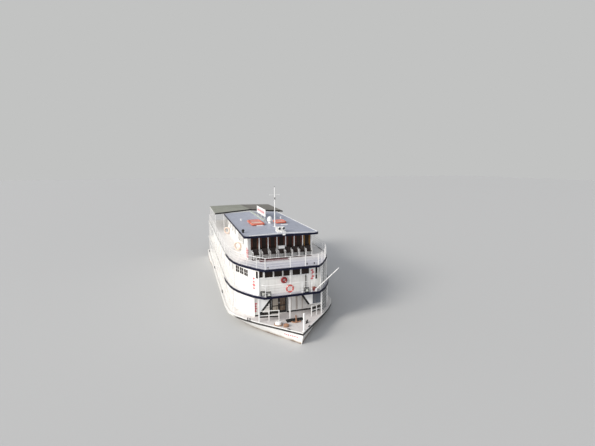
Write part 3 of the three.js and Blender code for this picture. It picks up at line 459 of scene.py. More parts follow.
SIDE_ROW = [i * 2.15 + 1.15 for i in range(10)]
side_windows = both_sides([9.6 - s for s in SIDE_ROW], 4.6, 3.425)
side_windows += both_sides([9.3 - s for s in SIDE_ROW], 4.56, 5.975)
bow_windows = [p for i in range(3) for p in on_bow_wall(1, 0.68 + 0.79 * i, 6.41)]
narrow_windows = on_bow_wall(0, 0.17, 6.425)
front_windows = [(FRONT_2, y, 6.47, 0.0) for y in (-2.04, -1.175, -0.31, 0.555, 1.42)]
aft_windows = [(x, side * y, floor_z + 1.425, math.pi) for x, floor_z, second in
               ((-14.6, DECK_1, 2.4), (-14.6, DECK_2, 2.4), (-5.4, DECK_3, 2.1))
               for y in (1.525, second + 0.425) for side in (-1, 1)]
cabin_windows = both_sides((1.75, -0.25, -2.25, -4.25), 3.3, 8.4)
for name, width, height, board, bar, sill, places in (
        ("side_window_casings", 0.9, 0.85, 0.055, True, True, side_windows),
        ("narrow_side_casing", 0.24, 0.65, 0.02, False, False, narrow_windows),
        ("front_casings", 0.75, 0.68, 0.025, False, True, front_windows),
        ("small_front_casing", 0.38, 0.64, 0.03, False, True, [(FRONT_2, -2.74, 6.47, 0.0)]),
        ("tall_front_casing", 0.18, 1.2, 0.03, False, True, [(FRONT_2, 2.52, 6.15, 0.0)]),
        ("bow_house_casings", 0.95, 1.1, 0.055, True, True, [(FRONT_1, y, 3.5, 0.0) for y in (-2.3, 2.4)]),
        ("cabin_window_casings", 1.1, 0.9, 0.055, True, True, cabin_windows),
        ("fore_cabin_casings", 1.0, 0.9, 0.055, True, True, both_sides((7.7, 6.1), 3.3, 8.4)),
        ("aft_window_casings", 0.85, 0.85, 0.055, True, True, aft_windows)):
    set_copies(name, casing(width, height, board, bar, sill), places, white_paint)
bow_casing = casing(0.66, 0.78, 0.03, False)
for low, high in (((-0.05, -0.33, 0.22), (0.024, 0.33, 0.39)), ((0.006, -0.012, -0.39), (0.018, 0.012, 0.22)),
                  ((0.006, -0.33, -0.1), (0.016, 0.33, -0.08))):
    add_box(bow_casing, low, high)
set_copies("bow_side_casings", bow_casing, bow_windows, white_paint)
for name, half, low, high, places in (("bow_side_panes", 0.33, -0.39, 0.22, bow_windows),
                                      ("narrow_side_pane", 0.12, -0.325, 0.325, narrow_windows),
                                      ("front_panes", 0.375, -0.34, 0.34, front_windows)):
    set_copies(name, boxed([((-0.055, -half, low), (0.006, half, high))]), places, glass)
piece("tall_front_pane", boxed([((13.425, 2.43, 5.55), (13.486, 2.61, 6.75))], 0.002), glass)
spans = []
for x, z in ((-14.6, DECK_1), (-14.6, DECK_2), (-5.4, DECK_3)):
    spans += [((x - 0.03, y - 0.04, z + 0.01), (x, y + 0.04, z + 2.08)) for y in (-0.54, 0.54)]
    spans += [((x - 0.03, -0.5, z + 2.0), (x, 0.5, z + 2.08)), ((x - 0.05, -0.5, z + 0.01), (x, 0.5, z + 0.04))]
piece("aft_door_frames", boxed(spans, 0.006), white_paint)

# House trim: white corner boards, a rail under the front panes and a black kick strip at the walls' feet.
# They are pressed strips riveted to the wall sheets.
trim = bmesh.new()
for x, y, low, high, corner_turn in ((FRONT_2, 2.97, 4.505, 6.85, 0.45), (FRONT_1, 3.2, 2.105, 4.35, 0.4)):
    for side in (-1, 1):
        add_box(trim, (-0.045, -0.045, low), (0.03, 0.045, high), side * corner_turn, (x, side * y, 0))
for low, high in (((13.481, -2.93, 5.98), (13.505, 2.93, 6.04)), ((13.481, 1.88, 4.52), (13.5, 1.93, 6.8)),
                  ((13.481, 2.36, 4.52), (13.5, 2.40, 6.8))):
    add_box(trim, low, high)
soften(trim, 0.005)
piece("wall_trim", trim, white_paint)
kick_rubber = paint("kick_rubber", (0.025, 0.022, 0.02), (0.2, 0.17, 0.14), 0.5, 0.7)
kick_spans = [((12.401, low, 2.105), (12.422, high, 2.23)) for low, high in ((-3.15, -1.66), (0.02, 3.15))]
piece("kick_strip", boxed(kick_spans, 0.004), kick_rubber)


# Blind arches on the main house front, to port of the middle post: thin brown mouldings of wood.
# Each is glued to the boards in one run, up one side, over the bend and down the other.
def add_rod(bm, a, b, radius, sides=10, end_radius=None):
    a, b = Vector(a), Vector(b)
    turn = (b - a).to_track_quat("Z", "Y").to_matrix().to_4x4()
    bmesh.ops.create_cone(bm, cap_ends=True, segments=sides, radius1=radius,
                          radius2=radius if end_radius is None else end_radius,
                          depth=(b - a).length, matrix=Matrix.Translation((a + b) / 2) @ turn)


ARCH_HALF, ARCH_FOOT, ARCH_SPRING, ARCH_RISE = 0.26, 2.3, 3.75, 0.32
arches = bmesh.new()
for y in (0.62, 1.24):
    bend = [k * math.pi / 10 for k in range(11)]
    rim = [(12.412, y - ARCH_HALF * math.cos(k), ARCH_SPRING + ARCH_RISE * math.sin(k)) for k in bend]
    rim = [(12.412, y - ARCH_HALF, ARCH_FOOT), *rim, (12.412, y + ARCH_HALF, ARCH_FOOT)]
    for a, b in zip(rim, rim[1:]):
        add_rod(arches, a, b, 0.022, 6)
piece("wall_arches", arches, paint("arch_brown", (0.30, 0.20, 0.14), amount=0.5, gloss=0.6))

# Rain pipe down the front of the second deck: a dark plastic downpipe held by three clips.
# A short stub at its top leads into the wall.
rain_pipe = boxed([((13.481, 1.42, z), (13.57, 1.52, z + 0.03)) for z in (4.75, 5.3, 5.85)])
add_rod(rain_pipe, (13.53, 1.47, 4.56), (13.53, 1.47, 6.02), 0.042)
add_rod(rain_pipe, (FRONT_2, 1.47, 6.05), (13.54, 1.47, 6.0), 0.034)
piece("rain_pipe", rain_pipe, paint("pipe_dark", (0.02, 0.013, 0.012), gloss=0.5))

# Ornament: cut-out four-lobed leaves in red, in place of the painted words; plain pressed sheet, glued on.
# They stand on the front walls, the cabin's corner, the bow and both faces of the sign board.
leaf = bmesh.new()
leaf_rim = []
for i in range(24):
    angle = i * math.pi / 12
    reach = 0.055 + 0.045 * abs(math.cos(2 * angle)) ** 1.5
    leaf_rim.append((reach * math.sin(angle), reach * math.cos(angle)))
bridge(leaf, [[leaf.verts.new((x, y * size, z * size)) for y, z in leaf_rim]
              for x, size in ((0.001, 1), (0.007, 0.96))])
leaves = [(13.481, 2.10 + 0.09 * (i % 2), 5.62 + 0.2 * i, 0.0, (1, 1.5, 1.1)) for i in range(5)]
leaves += [(*on_bow_wall(0, 0.56, 5.12 + 0.3 * i, 0.001)[0], (1, 1.2 + 0.6 * (i == 1), 1.2 + 0.5 * (i == 1)))
           for i in range(4)]
leaves += [(12.401, -3.10 + 0.04 * (i % 2), 2.62 + 0.24 * i, 0.0, (1, 1.3, 1.2)) for i in range(4)]
leaves += [(9.86 - 0.3 * (i % 2), -3.301, 7.2 + 0.11 * i, -math.pi / 2, (1, 3.4, 1.3)) for i in range(8)]
leaves += [(10.071, -3.27, 7.25 + 0.22 * i, 0.0, (1, 0.5, 0.9)) for i in range(4)]
for i in range(7):
    hit, spot, normal, _ = cad["hull"].ray_cast(Vector((15.62 + 0.15 * i, -4, 1.62)), Vector((0, 1, 0)))
    if hit:
        spin = (0, -math.asin(normal.z), math.atan2(normal.y, normal.x))
        leaves.append((*(spot + normal * 0.001), spin, (1, 0.85, 0.7)))
leaves += [(-2.25 + 0.69 * i, 0.35 + side * 0.031, 10.33, side * math.pi / 2, (1, 2.4, 2.4))
           for i in range(6) for side in (-1, 1)]
ornament_red = paint("ornament_red", (0.62, 0.05, 0.07), (0.75, 0.5, 0.5), 0.5, 0.5)
set_copies("red_leaves", leaf, leaves, ornament_red)

# Top cabin front: seven tall panes between thin white mullions, over a white rail.
# The corner boards stand forward of the glass.
spans = [((9.945, -2.165 + i * 0.9, 7.02), (9.985, -2.085 + i * 0.9, 9.28)) for i in range(6)]
spans += [((9.945, -3.24, 7.80), (9.99, 3.24, 7.85)), ((9.945, -3.24, 9.06), (9.985, 3.24, 9.14))]
spans += [((9.99, side * 3.27 - 0.05, 7.01), (10.07, side * 3.27 + 0.05, 9.28)) for side in (-1, 1)]
piece("cabin_mullions", boxed(spans, 0.006), white_paint)

# Locker under the middle pane: a white steel box on the sill, with a lid.
# It is folded from sheet and screwed on in front of the glass.
locker = [((9.991, -0.22, 7.86), (10.13, 0.44, 8.12)), ((9.991, -0.24, 8.125), (10.15, 0.46, 8.16))]
piece("sill_locker", boxed(locker, 0.012, 2), white_paint)


# Curtains: red-brown cloth drawn back in folds at the sides of each pane, amber in the last one.
# The folds hang close behind the glass and end at different heights.
def folds(pane):
    for k, step in enumerate((0.03, 0.11, 0.62, 0.70)):
        y, low = -2.965 + pane * 0.9 + step, 7.92 + 0.13 * ((pane * 3 + k * 2) % 4)
        yield (9.892, y, low), (9.905 + 0.01 * (k % 2), y + 0.07, 9.04)


curtain_brown = paint("curtain_brown", (0.10, 0.03, 0.02), amount=0.5, gloss=0.8)
amber_cloth = paint("amber_cloth", (0.26, 0.12, 0.02), amount=0.4, gloss=0.7)
brown_folds = [fold for pane in range(6) for fold in folds(pane)]
piece("front_curtains", boxed(brown_folds, 0.005), curtain_brown)
piece("amber_curtain", boxed(folds(6), 0.005), amber_cloth)

# Doors: glazed steel leaves. The bow pair is black framed; the cabin's side doors are white.
# Each leaf has pressed cross rails, its own panes and a bent steel handle on the lock side.
door_black = paint("door_black", (0.02, 0.02, 0.02), (0.2, 0.18, 0.16), 0.25, 0.35)
dress(door_black, "bow_door_port", "bow_door_starboard")
dress(white_paint, "cabin_door_port", "cabin_door_starboard")
pale_pane = paint("pale_pane", (0.40, 0.36, 0.30), (0.10, 0.08, 0.05), 0.8, 0.15, relief=0.0005)
brown_pane = paint("brown_pane", (0.13, 0.085, 0.055), (0.4, 0.33, 0.25), 0.7, 0.15, relief=0.0005)
chrome = paint("handle_steel", (0.6, 0.6, 0.6), (0.3, 0.3, 0.3), 0.2, 0.25, metal=1.0)


def door_trim(body, centre, turn, width, low, high, pane_finish, lock_side):
    bow = body.startswith("bow")
    hang = Matrix.Translation(centre) @ Matrix.Rotation(turn, 4, "Z")
    w, middle = width / 2, (low + high) / 2
    spans = [((0, a, low), (0.012, a + 0.08, high)) for a in (-w, w - 0.08)]
    cross_rails = ((low, low + 0.25), (middle - 0.3, middle - 0.2), (high - 0.1, high))
    spans += [((0, -w, a), (0.014, w, b)) for a, b in cross_rails]
    stile = boxed(spans, 0.003)
    panes = [(middle - 0.22, high - 0.08), (low + 0.24, middle - 0.29)][:2 if bow else 1]
    pane = boxed([((0.001, -w + 0.07, a), (0.006, w - 0.07, b)) for a, b in panes], 0.002)
    y = lock_side * (w - 0.05)
    handle = boxed([((0.012, y - 0.02, low + 0.95), (0.018, y + 0.02, low + 1.12))])
    add_rod(handle, (0.018, y, low + 1.0), (0.045, y, low + 1.0), 0.009)
    add_rod(handle, (0.045, y, low + 1.0), (0.045, y - lock_side * 0.11, low + 1.0), 0.008)
    leaf_finish, leaf_slot = (door_black, "dark") if bow else (white_paint, "white")
    for word, bm, finish, slot in (("frame", stile, leaf_finish, leaf_slot),
                                   ("pane", pane, pane_finish, "glass"),
                                   ("handle", handle, chrome, "iron")):
        bm.transform(hang)
        piece(f"{body}_{word}", bm, finish, body)


door_trim("bow_door_port", (FRONT_1, -0.49, 0), 0, 0.69, 2.15, 4.14, brown_pane, -1)
door_trim("bow_door_starboard", (FRONT_1, -1.19, 0), 0, 0.69, 2.15, 4.14, pale_pane, 1)
door_trim("cabin_door_port", (4.725, 3.3, 0), math.pi / 2, 0.83, 7.05, 8.99, glass, 1)
door_trim("cabin_door_starboard", (4.725, -3.3, 0), -math.pi / 2, 0.83, 7.05, 8.99, glass, -1)
surround = [((12.401, y0, low), (12.43, y1, 4.34)) for y0, y1, low in (
    (-1.74, -1.60, 2.105), (-0.08, 0.02, 2.105), (-1.60, -0.08, 4.17))]
piece("bow_doorway_surround", boxed(surround, 0.005), door_black)

# Rails: white galvanised tube. Each run has a thick hand rail, four thin bars and square posts.
# The posts of the lower decks run up to the deck above.
POST_TOP_1, POST_TOP_2 = 4.3597, 6.8597
tubes, tube_in, tube_out = group(
    "round bar along lines",
    (("Lines", "Geometry"), ("Radius", "Float"), ("Sides", "Int"), ("Finish", "Material")),
    MESH_OUT, "GeometryNodeTree",
)
bar_line = put(tubes, "GeometryNodeMeshToCurve", {0: tube_in["Lines"]})
bar_size = {"Radius": tube_in["Radius"], "Resolution": tube_in["Sides"]}
bar_round = put(tubes, "GeometryNodeCurvePrimitiveCircle", bar_size)
sweep_bar = {"Curve": bar_line, "Profile Curve": bar_round, "Fill Caps": True}
close_tree(tubes, put(tubes, "GeometryNodeCurveToMesh", sweep_bar), tube_in["Finish"], tube_out[0])


def bars(name, runs, radius, sides=8):
    verts, edges = [], []
    for run in runs:
        edges += [(len(verts) + i, len(verts) + i + 1) for i in range(len(run) - 1)]
        verts += run
    mesh = bpy.data.meshes.new(name + "_lines")
    mesh.from_pydata(verts, edges, [])
    grown(name, mesh, tubes, {"Radius": radius, "Sides": sides, "Finish": white_paint}, "boat")


def edge_y(half, x, inset):
    table = [(STEM - aft, width - inset) for aft, width in half] + [(STERN, half[-1][1] - inset)]
    for (xa, ya), (xb, yb) in zip(table, table[1:]):
        if xb <= x <= xa:
            return ya + (yb - ya) * (xa - x) / (xa - xb)
    return table[0][1]


BAR_STEPS = (0.15, 0.385, 0.62, 0.85)
RAIL_TOP = 1.08
INSET = 0.125
AFT_RAIL_X = STERN + INSET
CENTRE_POST_Y = -0.20


def side_run(half, side, fore, inset):
    xs = [fore] + [STEM - a for a, _ in half if AFT_RAIL_X + 0.2 < STEM - a < fore - 0.2] + [AFT_RAIL_X]
    corners = [(x, side * edge_y(half, x, inset)) for x in xs]
    last = xs[-2]
    bays = round((last - AFT_RAIL_X) / 2.9)
    post_xs = [last + (AFT_RAIL_X - last) * i / bays for i in range(1, bays + 1)]
    return corners, corners[:-1] + [(x, side * edge_y(half, x, inset)) for x in post_xs]


def railing(name, corners, posts, floor_z, post_tops, post_size):
    bars(name + "_bars", [[(x, y, floor_z + step) for x, y in corners] for step in BAR_STEPS], 0.011)
    bars(name + "_handrail", [[(x, y, floor_z + RAIL_TOP) for x, y in corners]], 0.022, 10)
    half, foot = post_size / 2, post_size / 2 + 0.03
    spans = []
    for (x, y), top_z in zip(posts, post_tops):
        spans += [((x - half, y - half, floor_z), (x + half, y + half, top_z)),
                  ((x - foot, y - foot, floor_z), (x + foot, y + foot, floor_z + 0.015))]
    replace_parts(piece(name + "_posts", boxed(spans, 0.006), white_paint), name)


for word, side in (("port", 1), ("starboard", -1)):
    for deck, half, fore, inset, floor_z, top_z, size in (
            ("main", DECK_2_EDGE, 5.9 if side > 0 else 6.5, INSET, DECK_1, POST_TOP_1, 0.08),
            ("deck_2", DECK_3_EDGE, 3.3 if side > 0 else 6.5, 0.06, DECK_2, POST_TOP_2, 0.08),
            ("deck_3", DECK_3_EDGE, 3.6, INSET, DECK_3, DECK_3 + RAIL_TOP, 0.045)):
        corners, posts = side_run(half, side, STEM - fore, inset)
        railing(f"{deck}_rail_{word}", corners, posts, floor_z, [top_z] * len(posts), size)
for word, floor_z, centre_top, start_aft, boom_gap in (("deck_2", DECK_2, POST_TOP_2, 3.3, 0.62),
                                                       ("deck_3", DECK_3, DECK_3 + RAIL_TOP, 3.6, 0.0)):
    x = STEM - 2.8 - INSET
    y = 2.55 - 0.06
    port_end = y - boom_gap
    start = Vector((STEM - start_aft, edge_y(DECK_3_EDGE, STEM - start_aft, INSET)))
    lean = (Vector((x, y)) - start).normalized() * 0.095
    corners = [(start.x + lean.x, -start.y - lean.y), (x, -y), (x, port_end)]
    if not boom_gap:
        corners.append((start.x + lean.x, start.y + lean.y))
    posts = [(x, v) for v in (-y, port_end / 2, port_end, CENTRE_POST_Y)]
    railing(f"{word}_rail_front", corners, posts, floor_z, [floor_z + RAIL_TOP] * 3 + [centre_top], 0.06)
    y = edge_y(DECK_3_EDGE, AFT_RAIL_X, INSET) - 0.095
    stern_posts = [(AFT_RAIL_X, v) for v in (-y, -y / 2, 0, y / 2, y)]
    stern_line, stern_tops = [(AFT_RAIL_X, -y), (AFT_RAIL_X, y)], [floor_z + RAIL_TOP] * 5
    railing(f"{word}_rail_aft", stern_line, stern_posts, floor_z, stern_tops, 0.06)


# Bow frames: white corner posts and knee panels under the second deck, with a black strip along each knee as
# painted shade for the knee's shaded side.
# A dark grey sheet on part of the port one is painted shade. Dark strips behind the cross rails are painted
# shadow of the rails.
def add_plank(bm, a, b, width, thick, face=(1, 0, 0)):
    a, b = Vector(a), Vector(b)
    along = (b - a).normalized()
    side = along.cross(Vector(face)).normalized()
    seat = Matrix((along, side, side.cross(along).normalized())).transposed().to_4x4()
    seat.translation = (a + b) / 2
    bmesh.ops.create_cube(bm, size=1, matrix=seat @ Matrix.Diagonal(((b - a).length, width, thick, 1)))


dress(white_paint, "bow_post", "canopy_frame", "bow_frame_port", "bow_frame_starboard")
# The black strips along the knees are painted shade.
knee_edges = bmesh.new()
for low, high, low_z in ((1.74, 0.97, 3.165), (-2.95, -1.72, 2.825)):
    add_plank(knee_edges, (13.645, low, low_z), (13.645, high, 4.34), 0.19, 0.03)
soften(knee_edges, 0.006)
piece("knee_edges", knee_edges, door_black)
# The dark grey sheet on the port knee is painted shade.
knee_shade_grey = paint("knee_shade_grey", (0.10, 0.11, 0.13), amount=0.4, gloss=0.25)
knee_shade_spans = [((13.641, 2.15, 3.2), (13.646, 2.93, 4.31)), ((13.641, 2.12, 3.18), (13.652, 2.15, 4.33))]
piece("tinted_sheet", boxed(knee_shade_spans, 0.002), knee_shade_grey)
# Dark strips behind the cross rails: painted shadow of the rails.
rail_shadow_strips = bmesh.new()
for start, end, run in ((-2.94, -2.2, 1.77), (-2.08, -1.32, 1.77), (2.88, 2.52, 1.12), (2.40, 1.98, 1.12)):
    for z in (2.53, 2.86):
        add_plank(rail_shadow_strips, *((13.565 + 0.33 * (3.02 - abs(y)) / run, y, z) for y in (start, end)), 0.17, 0.045)
soften(rail_shadow_strips, 0.018, 2)
piece("rail_mats", rail_shadow_strips, paint("rail_shadow_dark", (0.022, 0.02, 0.018), (0.16, 0.14, 0.1), 0.5, 0.75))

# Port bow screens: white diagonal lattice of thin wooden strips in light frames, lashed between the posts.
# A dark sheet just behind them is painted shade, for the shaded side seen through the lattice.
LATTICE_PITCH = 0.3
lattice, shadow_sheets = bmesh.new(), bmesh.new()


def add_screen(a, b, low, high):
    run, length, height = (b - a).normalized(), (b - a).length, high - low
    out = (run.y, -run.x, 0)

    def spot(u, v, lift=0.0):
        return (a.x + run.x * u + run.y * lift, a.y + run.y * u - run.x * lift, low + v)

    for k in range(1, int((length + height) / LATTICE_PITCH)):
        c = k * LATTICE_PITCH
        u0, u1 = max(0.0, c - height), min(length, c)
        if u1 - u0 >= 0.05:
            for lift, v0, v1 in ((0.002, c - u0, c - u1), (-0.002, height - c + u0, height - c + u1)):
                add_plank(lattice, spot(u0, v0, lift), spot(u1, v1, lift), 0.042, 0.003, out)
    sheet_ends = (spot(u, height / 2, -0.012) for u in (0.01, length - 0.01))
    add_plank(shadow_sheets, *sheet_ends, height - 0.02, 0.006, out)
    corners = ((0, 0), (length, 0), (length, height), (0, height))
    for i, corner in enumerate(corners):
        add_plank(lattice, spot(*corner), spot(*corners[i - 1]), 0.045, 0.012, out)


for ends in ((13.80, 13.42), (13.37, 12.36), (12.25, 11.5), (11.4, 10.5)):
    add_screen(*(Vector((x, edge_y(DECK_3_EDGE, x, 0.06))) for x in ends), 4.56, 6.72)
add_screen(Vector((13.58, 3.10)), Vector((12.5, 4.02)), 2.18, 4.28)
piece("port_lattice", lattice, white_paint)
# The dark sheet behind the lattice is painted shade.
lattice_shade_paint = paint("lattice_shade_paint", (0.012, 0.012, 0.014), (0.05, 0.05, 0.05), gloss=0.8)
piece("lattice_netting", shadow_sheets, lattice_shade_paint)

# Deck grate: a frame of flat bar with welded cross slats, painted black.
# It is let down on the bow deck and carries the anchor.
spans = [((x0, y0, 2.101), (x1, y1, 2.16)) for x0, x1, y0, y1 in (
    (14.0, 14.05, -0.65, 0.95), (14.55, 14.6, -0.65, 0.95), (14.0, 14.6, -0.65, -0.60),
    (14.0, 14.6, 0.90, 0.95), (14.27, 14.32, -0.65, 0.95))]
spans += [((14.04, -0.58 + i * 0.0685, 2.115), (14.56, -0.545 + i * 0.0685, 2.15)) for i in range(22)]
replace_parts(piece("grate", boxed(spans, 0.004), door_black), "deck_grate")

# Anchor: forged iron, rusty, with a black stock across its shank; it lies on the grate.
# A ring and five links of chain lead from the end of the shank.
TURN = 2 * math.pi
face_bow = Matrix.Rotation(math.pi / 2, 3, "Y")
rust = paint("rusty_iron", (0.42, 0.22, 0.13), (0.08, 0.03, 0.02), 0.7, 0.8)


def steps(count):
    return [k * TURN / count for k in range(count)]


def add_torus(bm, spot, radius, tube, turn, sides, around, start=0.0, sweep=TURN):
    rings = []
    for i in range(sides + (sweep < TURN)):
        angle = start + sweep * i / sides
        seat = (turn or Matrix.Identity(3)) @ Matrix.Rotation(angle, 3, "Z")
        section = ((radius + tube * math.cos(k), 0, tube * math.sin(k)) for k in steps(around))
        rings.append([bm.verts.new(Vector(spot) + seat @ Vector(p)) for p in section])
    bridge(bm, rings, sweep == TURN)


def add_ball(bm, centre, radius, around, rows):
    place = Matrix.Translation(centre)
    bmesh.ops.create_uvsphere(bm, u_segments=around, v_segments=rows, radius=radius, matrix=place)


stock = bmesh.new()
add_rod(stock, (14.17, -0.46, 2.21), (14.33, 0.86, 2.21), 0.03)
for end in ((14.17, -0.48, 2.21), (14.33, 0.88, 2.21)):
    add_ball(stock, end, 0.045, 12, 8)
piece("anchor_stock", stock, door_black)
anchor = bmesh.new()
add_rod(anchor, (14.06, 0.34, 2.22), (14.86, 0.12, 2.20), 0.055, 8, 0.075)
add_torus(anchor, (14.02, 0.36, 2.22), 0.05, 0.012, Matrix.Rotation(math.pi / 2, 3, "X"), 20, 6)
for side in (-1, 1):
    elbow = Vector((14.86, 0.115 + side * 0.2, 2.17))
    tip = Vector((14.78 + side * 0.06, 0.12 + side * 0.36, 2.17))
    add_rod(anchor, (14.88, 0.115, 2.18), elbow, 0.052, 8, 0.045)
    add_rod(anchor, elbow, tip, 0.045, 8, 0.02)
    palm = tip + Vector((0.05, -side * 0.05, 0)), tip + Vector((-0.12, side * 0.04, 0.01))
    add_plank(anchor, *palm, 0.16, 0.02, (0, 0, 1))
for i in range(5):
    turn = Matrix.Rotation(0.27, 3, "Z") @ Matrix.Rotation(math.pi / 2 * (i % 2), 3, "X")
    add_torus(anchor, (13.93 - 0.105 * i, 0.385 + 0.028 * i, 2.18), 0.055, 0.016, turn, 16, 6)
soften(anchor, 0.004, 1, 50)
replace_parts(piece("stock_anchor", anchor, rust), "anchor")


# Mooring drum: white steel tub with a domed lid, and brown rope wound in turns round its foot.
# Two lifting eyes are welded to the lid.
def add_lathe(bm, profile, spot, sides, tilt=None):
    seat = Matrix.Translation(spot) @ (tilt or Matrix.Identity(4))
    bridge(bm, [[bm.verts.new(seat @ Vector((r * math.cos(k), r * math.sin(k), h))) for k in steps(sides)]
                for r, h in profile])


rope_brown = paint("rope_brown", (0.46, 0.30, 0.20), (0.10, 0.05, 0.03), 0.6, 0.85)
rope_tree = rope_brown.node_tree
strands = {"Vector": object_place(rope_tree), "Scale": 22, "Distortion": 0.6}
rope_lay = put(rope_tree, "ShaderNodeTexWave", strands, "Fac", bands_direction="DIAGONAL")
coat_over(rope_brown, rope_lay, (0.20, 0.11, 0.07, 1))
raise_over(rope_brown, calc(rope_tree, "MULTIPLY", rope_lay, 2.0))
DRUM_X, DRUM_Y = 14.8, -1.54
drum = bmesh.new()
drum_profile = ((0.38, 2.102), (0.40, 2.11), (0.40, 2.13), (0.35, 2.15), (0.33, 2.2), (0.27, 2.26),
                (0.265, 2.36), (0.25, 2.385), (0.24, 2.40), (0.15, 2.43), (0.02, 2.43))
add_lathe(drum, drum_profile, (DRUM_X, DRUM_Y, 0), 32)
for y in (DRUM_Y - 0.15, DRUM_Y + 0.15):
    add_torus(drum, (DRUM_X, y, 2.42), 0.05, 0.008, face_bow, 12, 6, 0, math.pi)
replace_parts(piece("mooring_drum", drum, white_paint), "rope_drum")
wound = bmesh.new()
for radius, z in ((0.36, 2.155), (0.34, 2.19), (0.375, 2.185), (0.315, 2.222), (0.345, 2.222)):
    add_torus(wound, (DRUM_X, DRUM_Y, z), radius, 0.02, None, 40, 8)
piece("drum_rope", wound, rope_brown)

# Rope reel on deck beside the drum: a low rusty spool, full of brown rope.
# The spool stands on its own flange, and the rope lies on it in three layers.
REEL_X, REEL_Y = 15.25, -0.95
reel, reel_rope = bmesh.new(), bmesh.new()
reel_profile = ((0.24, 2.102), (0.25, 2.11), (0.25, 2.12), (0.09, 2.13), (0.085, 2.25), (0.24, 2.26),
                (0.25, 2.27), (0.24, 2.28), (0.07, 2.285), (0.05, 2.31), (0.02, 2.315))
add_lathe(reel, reel_profile, (REEL_X, REEL_Y, 0), 28)
piece("rope_reel", reel, rust)
for z in (2.145, 2.185, 2.225):
    for radius in (0.115, 0.155, 0.195, 0.232):
        add_torus(reel_rope, (REEL_X, REEL_Y, z + 0.01 * math.sin(radius * 90)), radius, 0.021, None, 28, 6)
piece("reel_rope", reel_rope, rope_brown)

# Jackstaff: a stout white steel post with a cap and a cross pin.
# Its flange is bolted to the deck behind the stem head.
staff = bmesh.new()
staff_profile = ((0.13, 2.102), (0.13, 2.125), (0.085, 2.13), (0.075, 2.16), (0.072, 3.6), (0.085, 3.61),
                 (0.09, 3.65), (0.085, 3.68), (0.06, 3.73), (0.02, 3.75))
add_lathe(staff, staff_profile, (16.62, 0.22, 0), 20)
add_rod(staff, (16.62, 0.04, 3.1), (16.62, 0.40, 3.1), 0.018)
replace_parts(piece("bow_staff", staff, white_paint), "jackstaff")

# Bollards: pairs of cast posts on a plate, painted black and bolted to the deck.
# Fairleads at the bow are low black horns on the kerb.
bollard = boxed([((-0.22, -0.06, 0.001), (0.22, 0.06, 0.02))])
bollard_profile = ((0.055, 0.02), (0.045, 0.04), (0.045, 0.2), (0.065, 0.215), (0.065, 0.235), (0.03, 0.25))
for x in (-0.12, 0.12):
    add_lathe(bollard, bollard_profile, (x, 0, 0), 14)
soften(bollard, 0.003, 1, 60)
bollard_places = [(15.15, 1.02, DECK_1, -0.8), (13.05, -3.85, DECK_1, 0.75)]
bollard_places += [(x, y, DECK_1, 0.0) for x in (5.0, -4.6, -14.6) for y in (-5.4, 5.4)]
set_copies("bollards", bollard, bollard_places, door_black)
fairlead = boxed([((-0.14, -0.045, 0.0), (0.14, 0.045, 0.03))])
for end in (-1, 1):
    add_rod(fairlead, (end * 0.12, 0, 0.02), (end * 0.07, 0, 0.11), 0.028, 8, 0.018)
fairlead_places = [(16.0, side * 0.93, 2.17, -side * 0.78) for side in (1, -1)]
set_copies("fairleads", fairlead, fairlead_places, door_black)

# Stem bar: a round steel bar welded down the stem, in lengths between the stem's corners.
# It takes the wear where the bow touches ground.
stem_points = [v.co for v in cad["hull"].data.vertices if abs(v.co.y) < 0.02 and v.co.x > 15.5]
stem_line = sorted({(round(p.x, 3), round(p.z, 3)) for p in stem_points}, key=lambda p: p[1])
stem_bar = bmesh.new()
for (xa, za), (xb, zb) in zip(stem_line, stem_line[1:]):
    if zb - za > 0.05 and xb > xa:
        add_rod(stem_bar, (xa - 0.015, 0, za + 0.01), (xb - 0.015, 0, zb - 0.14), 0.035, 12)
piece("stem_bar", stem_bar, white_paint)

# Second deck front: two lifebuoys of foam with bands of tape, one hung on the rail post and one on the wall.
# Three more hang aslant on hooks along the top cabin.
orange = paint("float_orange", (0.52, 0.075, 0.06), (0.2, 0.06, 0.03), 0.4, 0.6)
buoy_red = paint("buoy_red", (0.27, 0.02, 0.022), (0.1, 0.02, 0.02), 0.4, 0.55)
band_pink = paint("band_tape", (0.80, 0.52, 0.48), (0.5, 0.3, 0.3), 0.3, 0.5)
cream_foam = paint("cream_foam", (0.74, 0.62, 0.50), (0.38, 0.17, 0.09), 0.6, 0.6)
buoys = [("lifebuoy_rail", (14.1813, -0.27, 5.13), 0.305, 0.072, face_bow, orange, "orange", 4),
         ("lifebuoy_wall", (13.5783, -0.64, 5.77), 0.205, 0.097, face_bow, buoy_red, "red", 1)]
for word, x, side in (("fore", 6.0, -1), ("aft", -3.6, -1), ("port", 6.0, 1)):
    slant = Matrix.Rotation(-side * math.pi / 4, 3, "Z") @ Matrix.Rotation(math.pi / 2, 3, "X")
    buoys.append((f"cabin_lifebuoy_{word}", (x, side * 3.68, 7.50), 0.37, 0.09, slant, cream_foam, "cream", 4))
for name, centre, radius, tube, turn, finish, slot, tapes in buoys:
    ring, tape = bmesh.new(), bmesh.new()
    add_torus(ring, centre, radius, tube, turn, 40, 14)
    made = piece(name + "_ring", ring, finish)
    for k in range(tapes):
        add_torus(tape, centre, radius, tube + 0.0035, turn, 6, 14, math.pi / 4 + k * math.pi / 2 - 0.12, 0.24)
    piece(name + "_bands", tape, band_pink)
    if name in cad:
        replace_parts(made, name)
        continue
    hooks = bmesh.new()
    x, y, z = centre
    for step in (-0.1, 0.1):
        wall_end = (x + step, math.copysign(3.302, y), z + radius - 0.09)
        add_rod(hooks, wall_end, (x + step, math.copysign(3.68 + step, y), z + radius - 0.065), 0.012)
    piece(name + "_hooks", hooks, chrome)


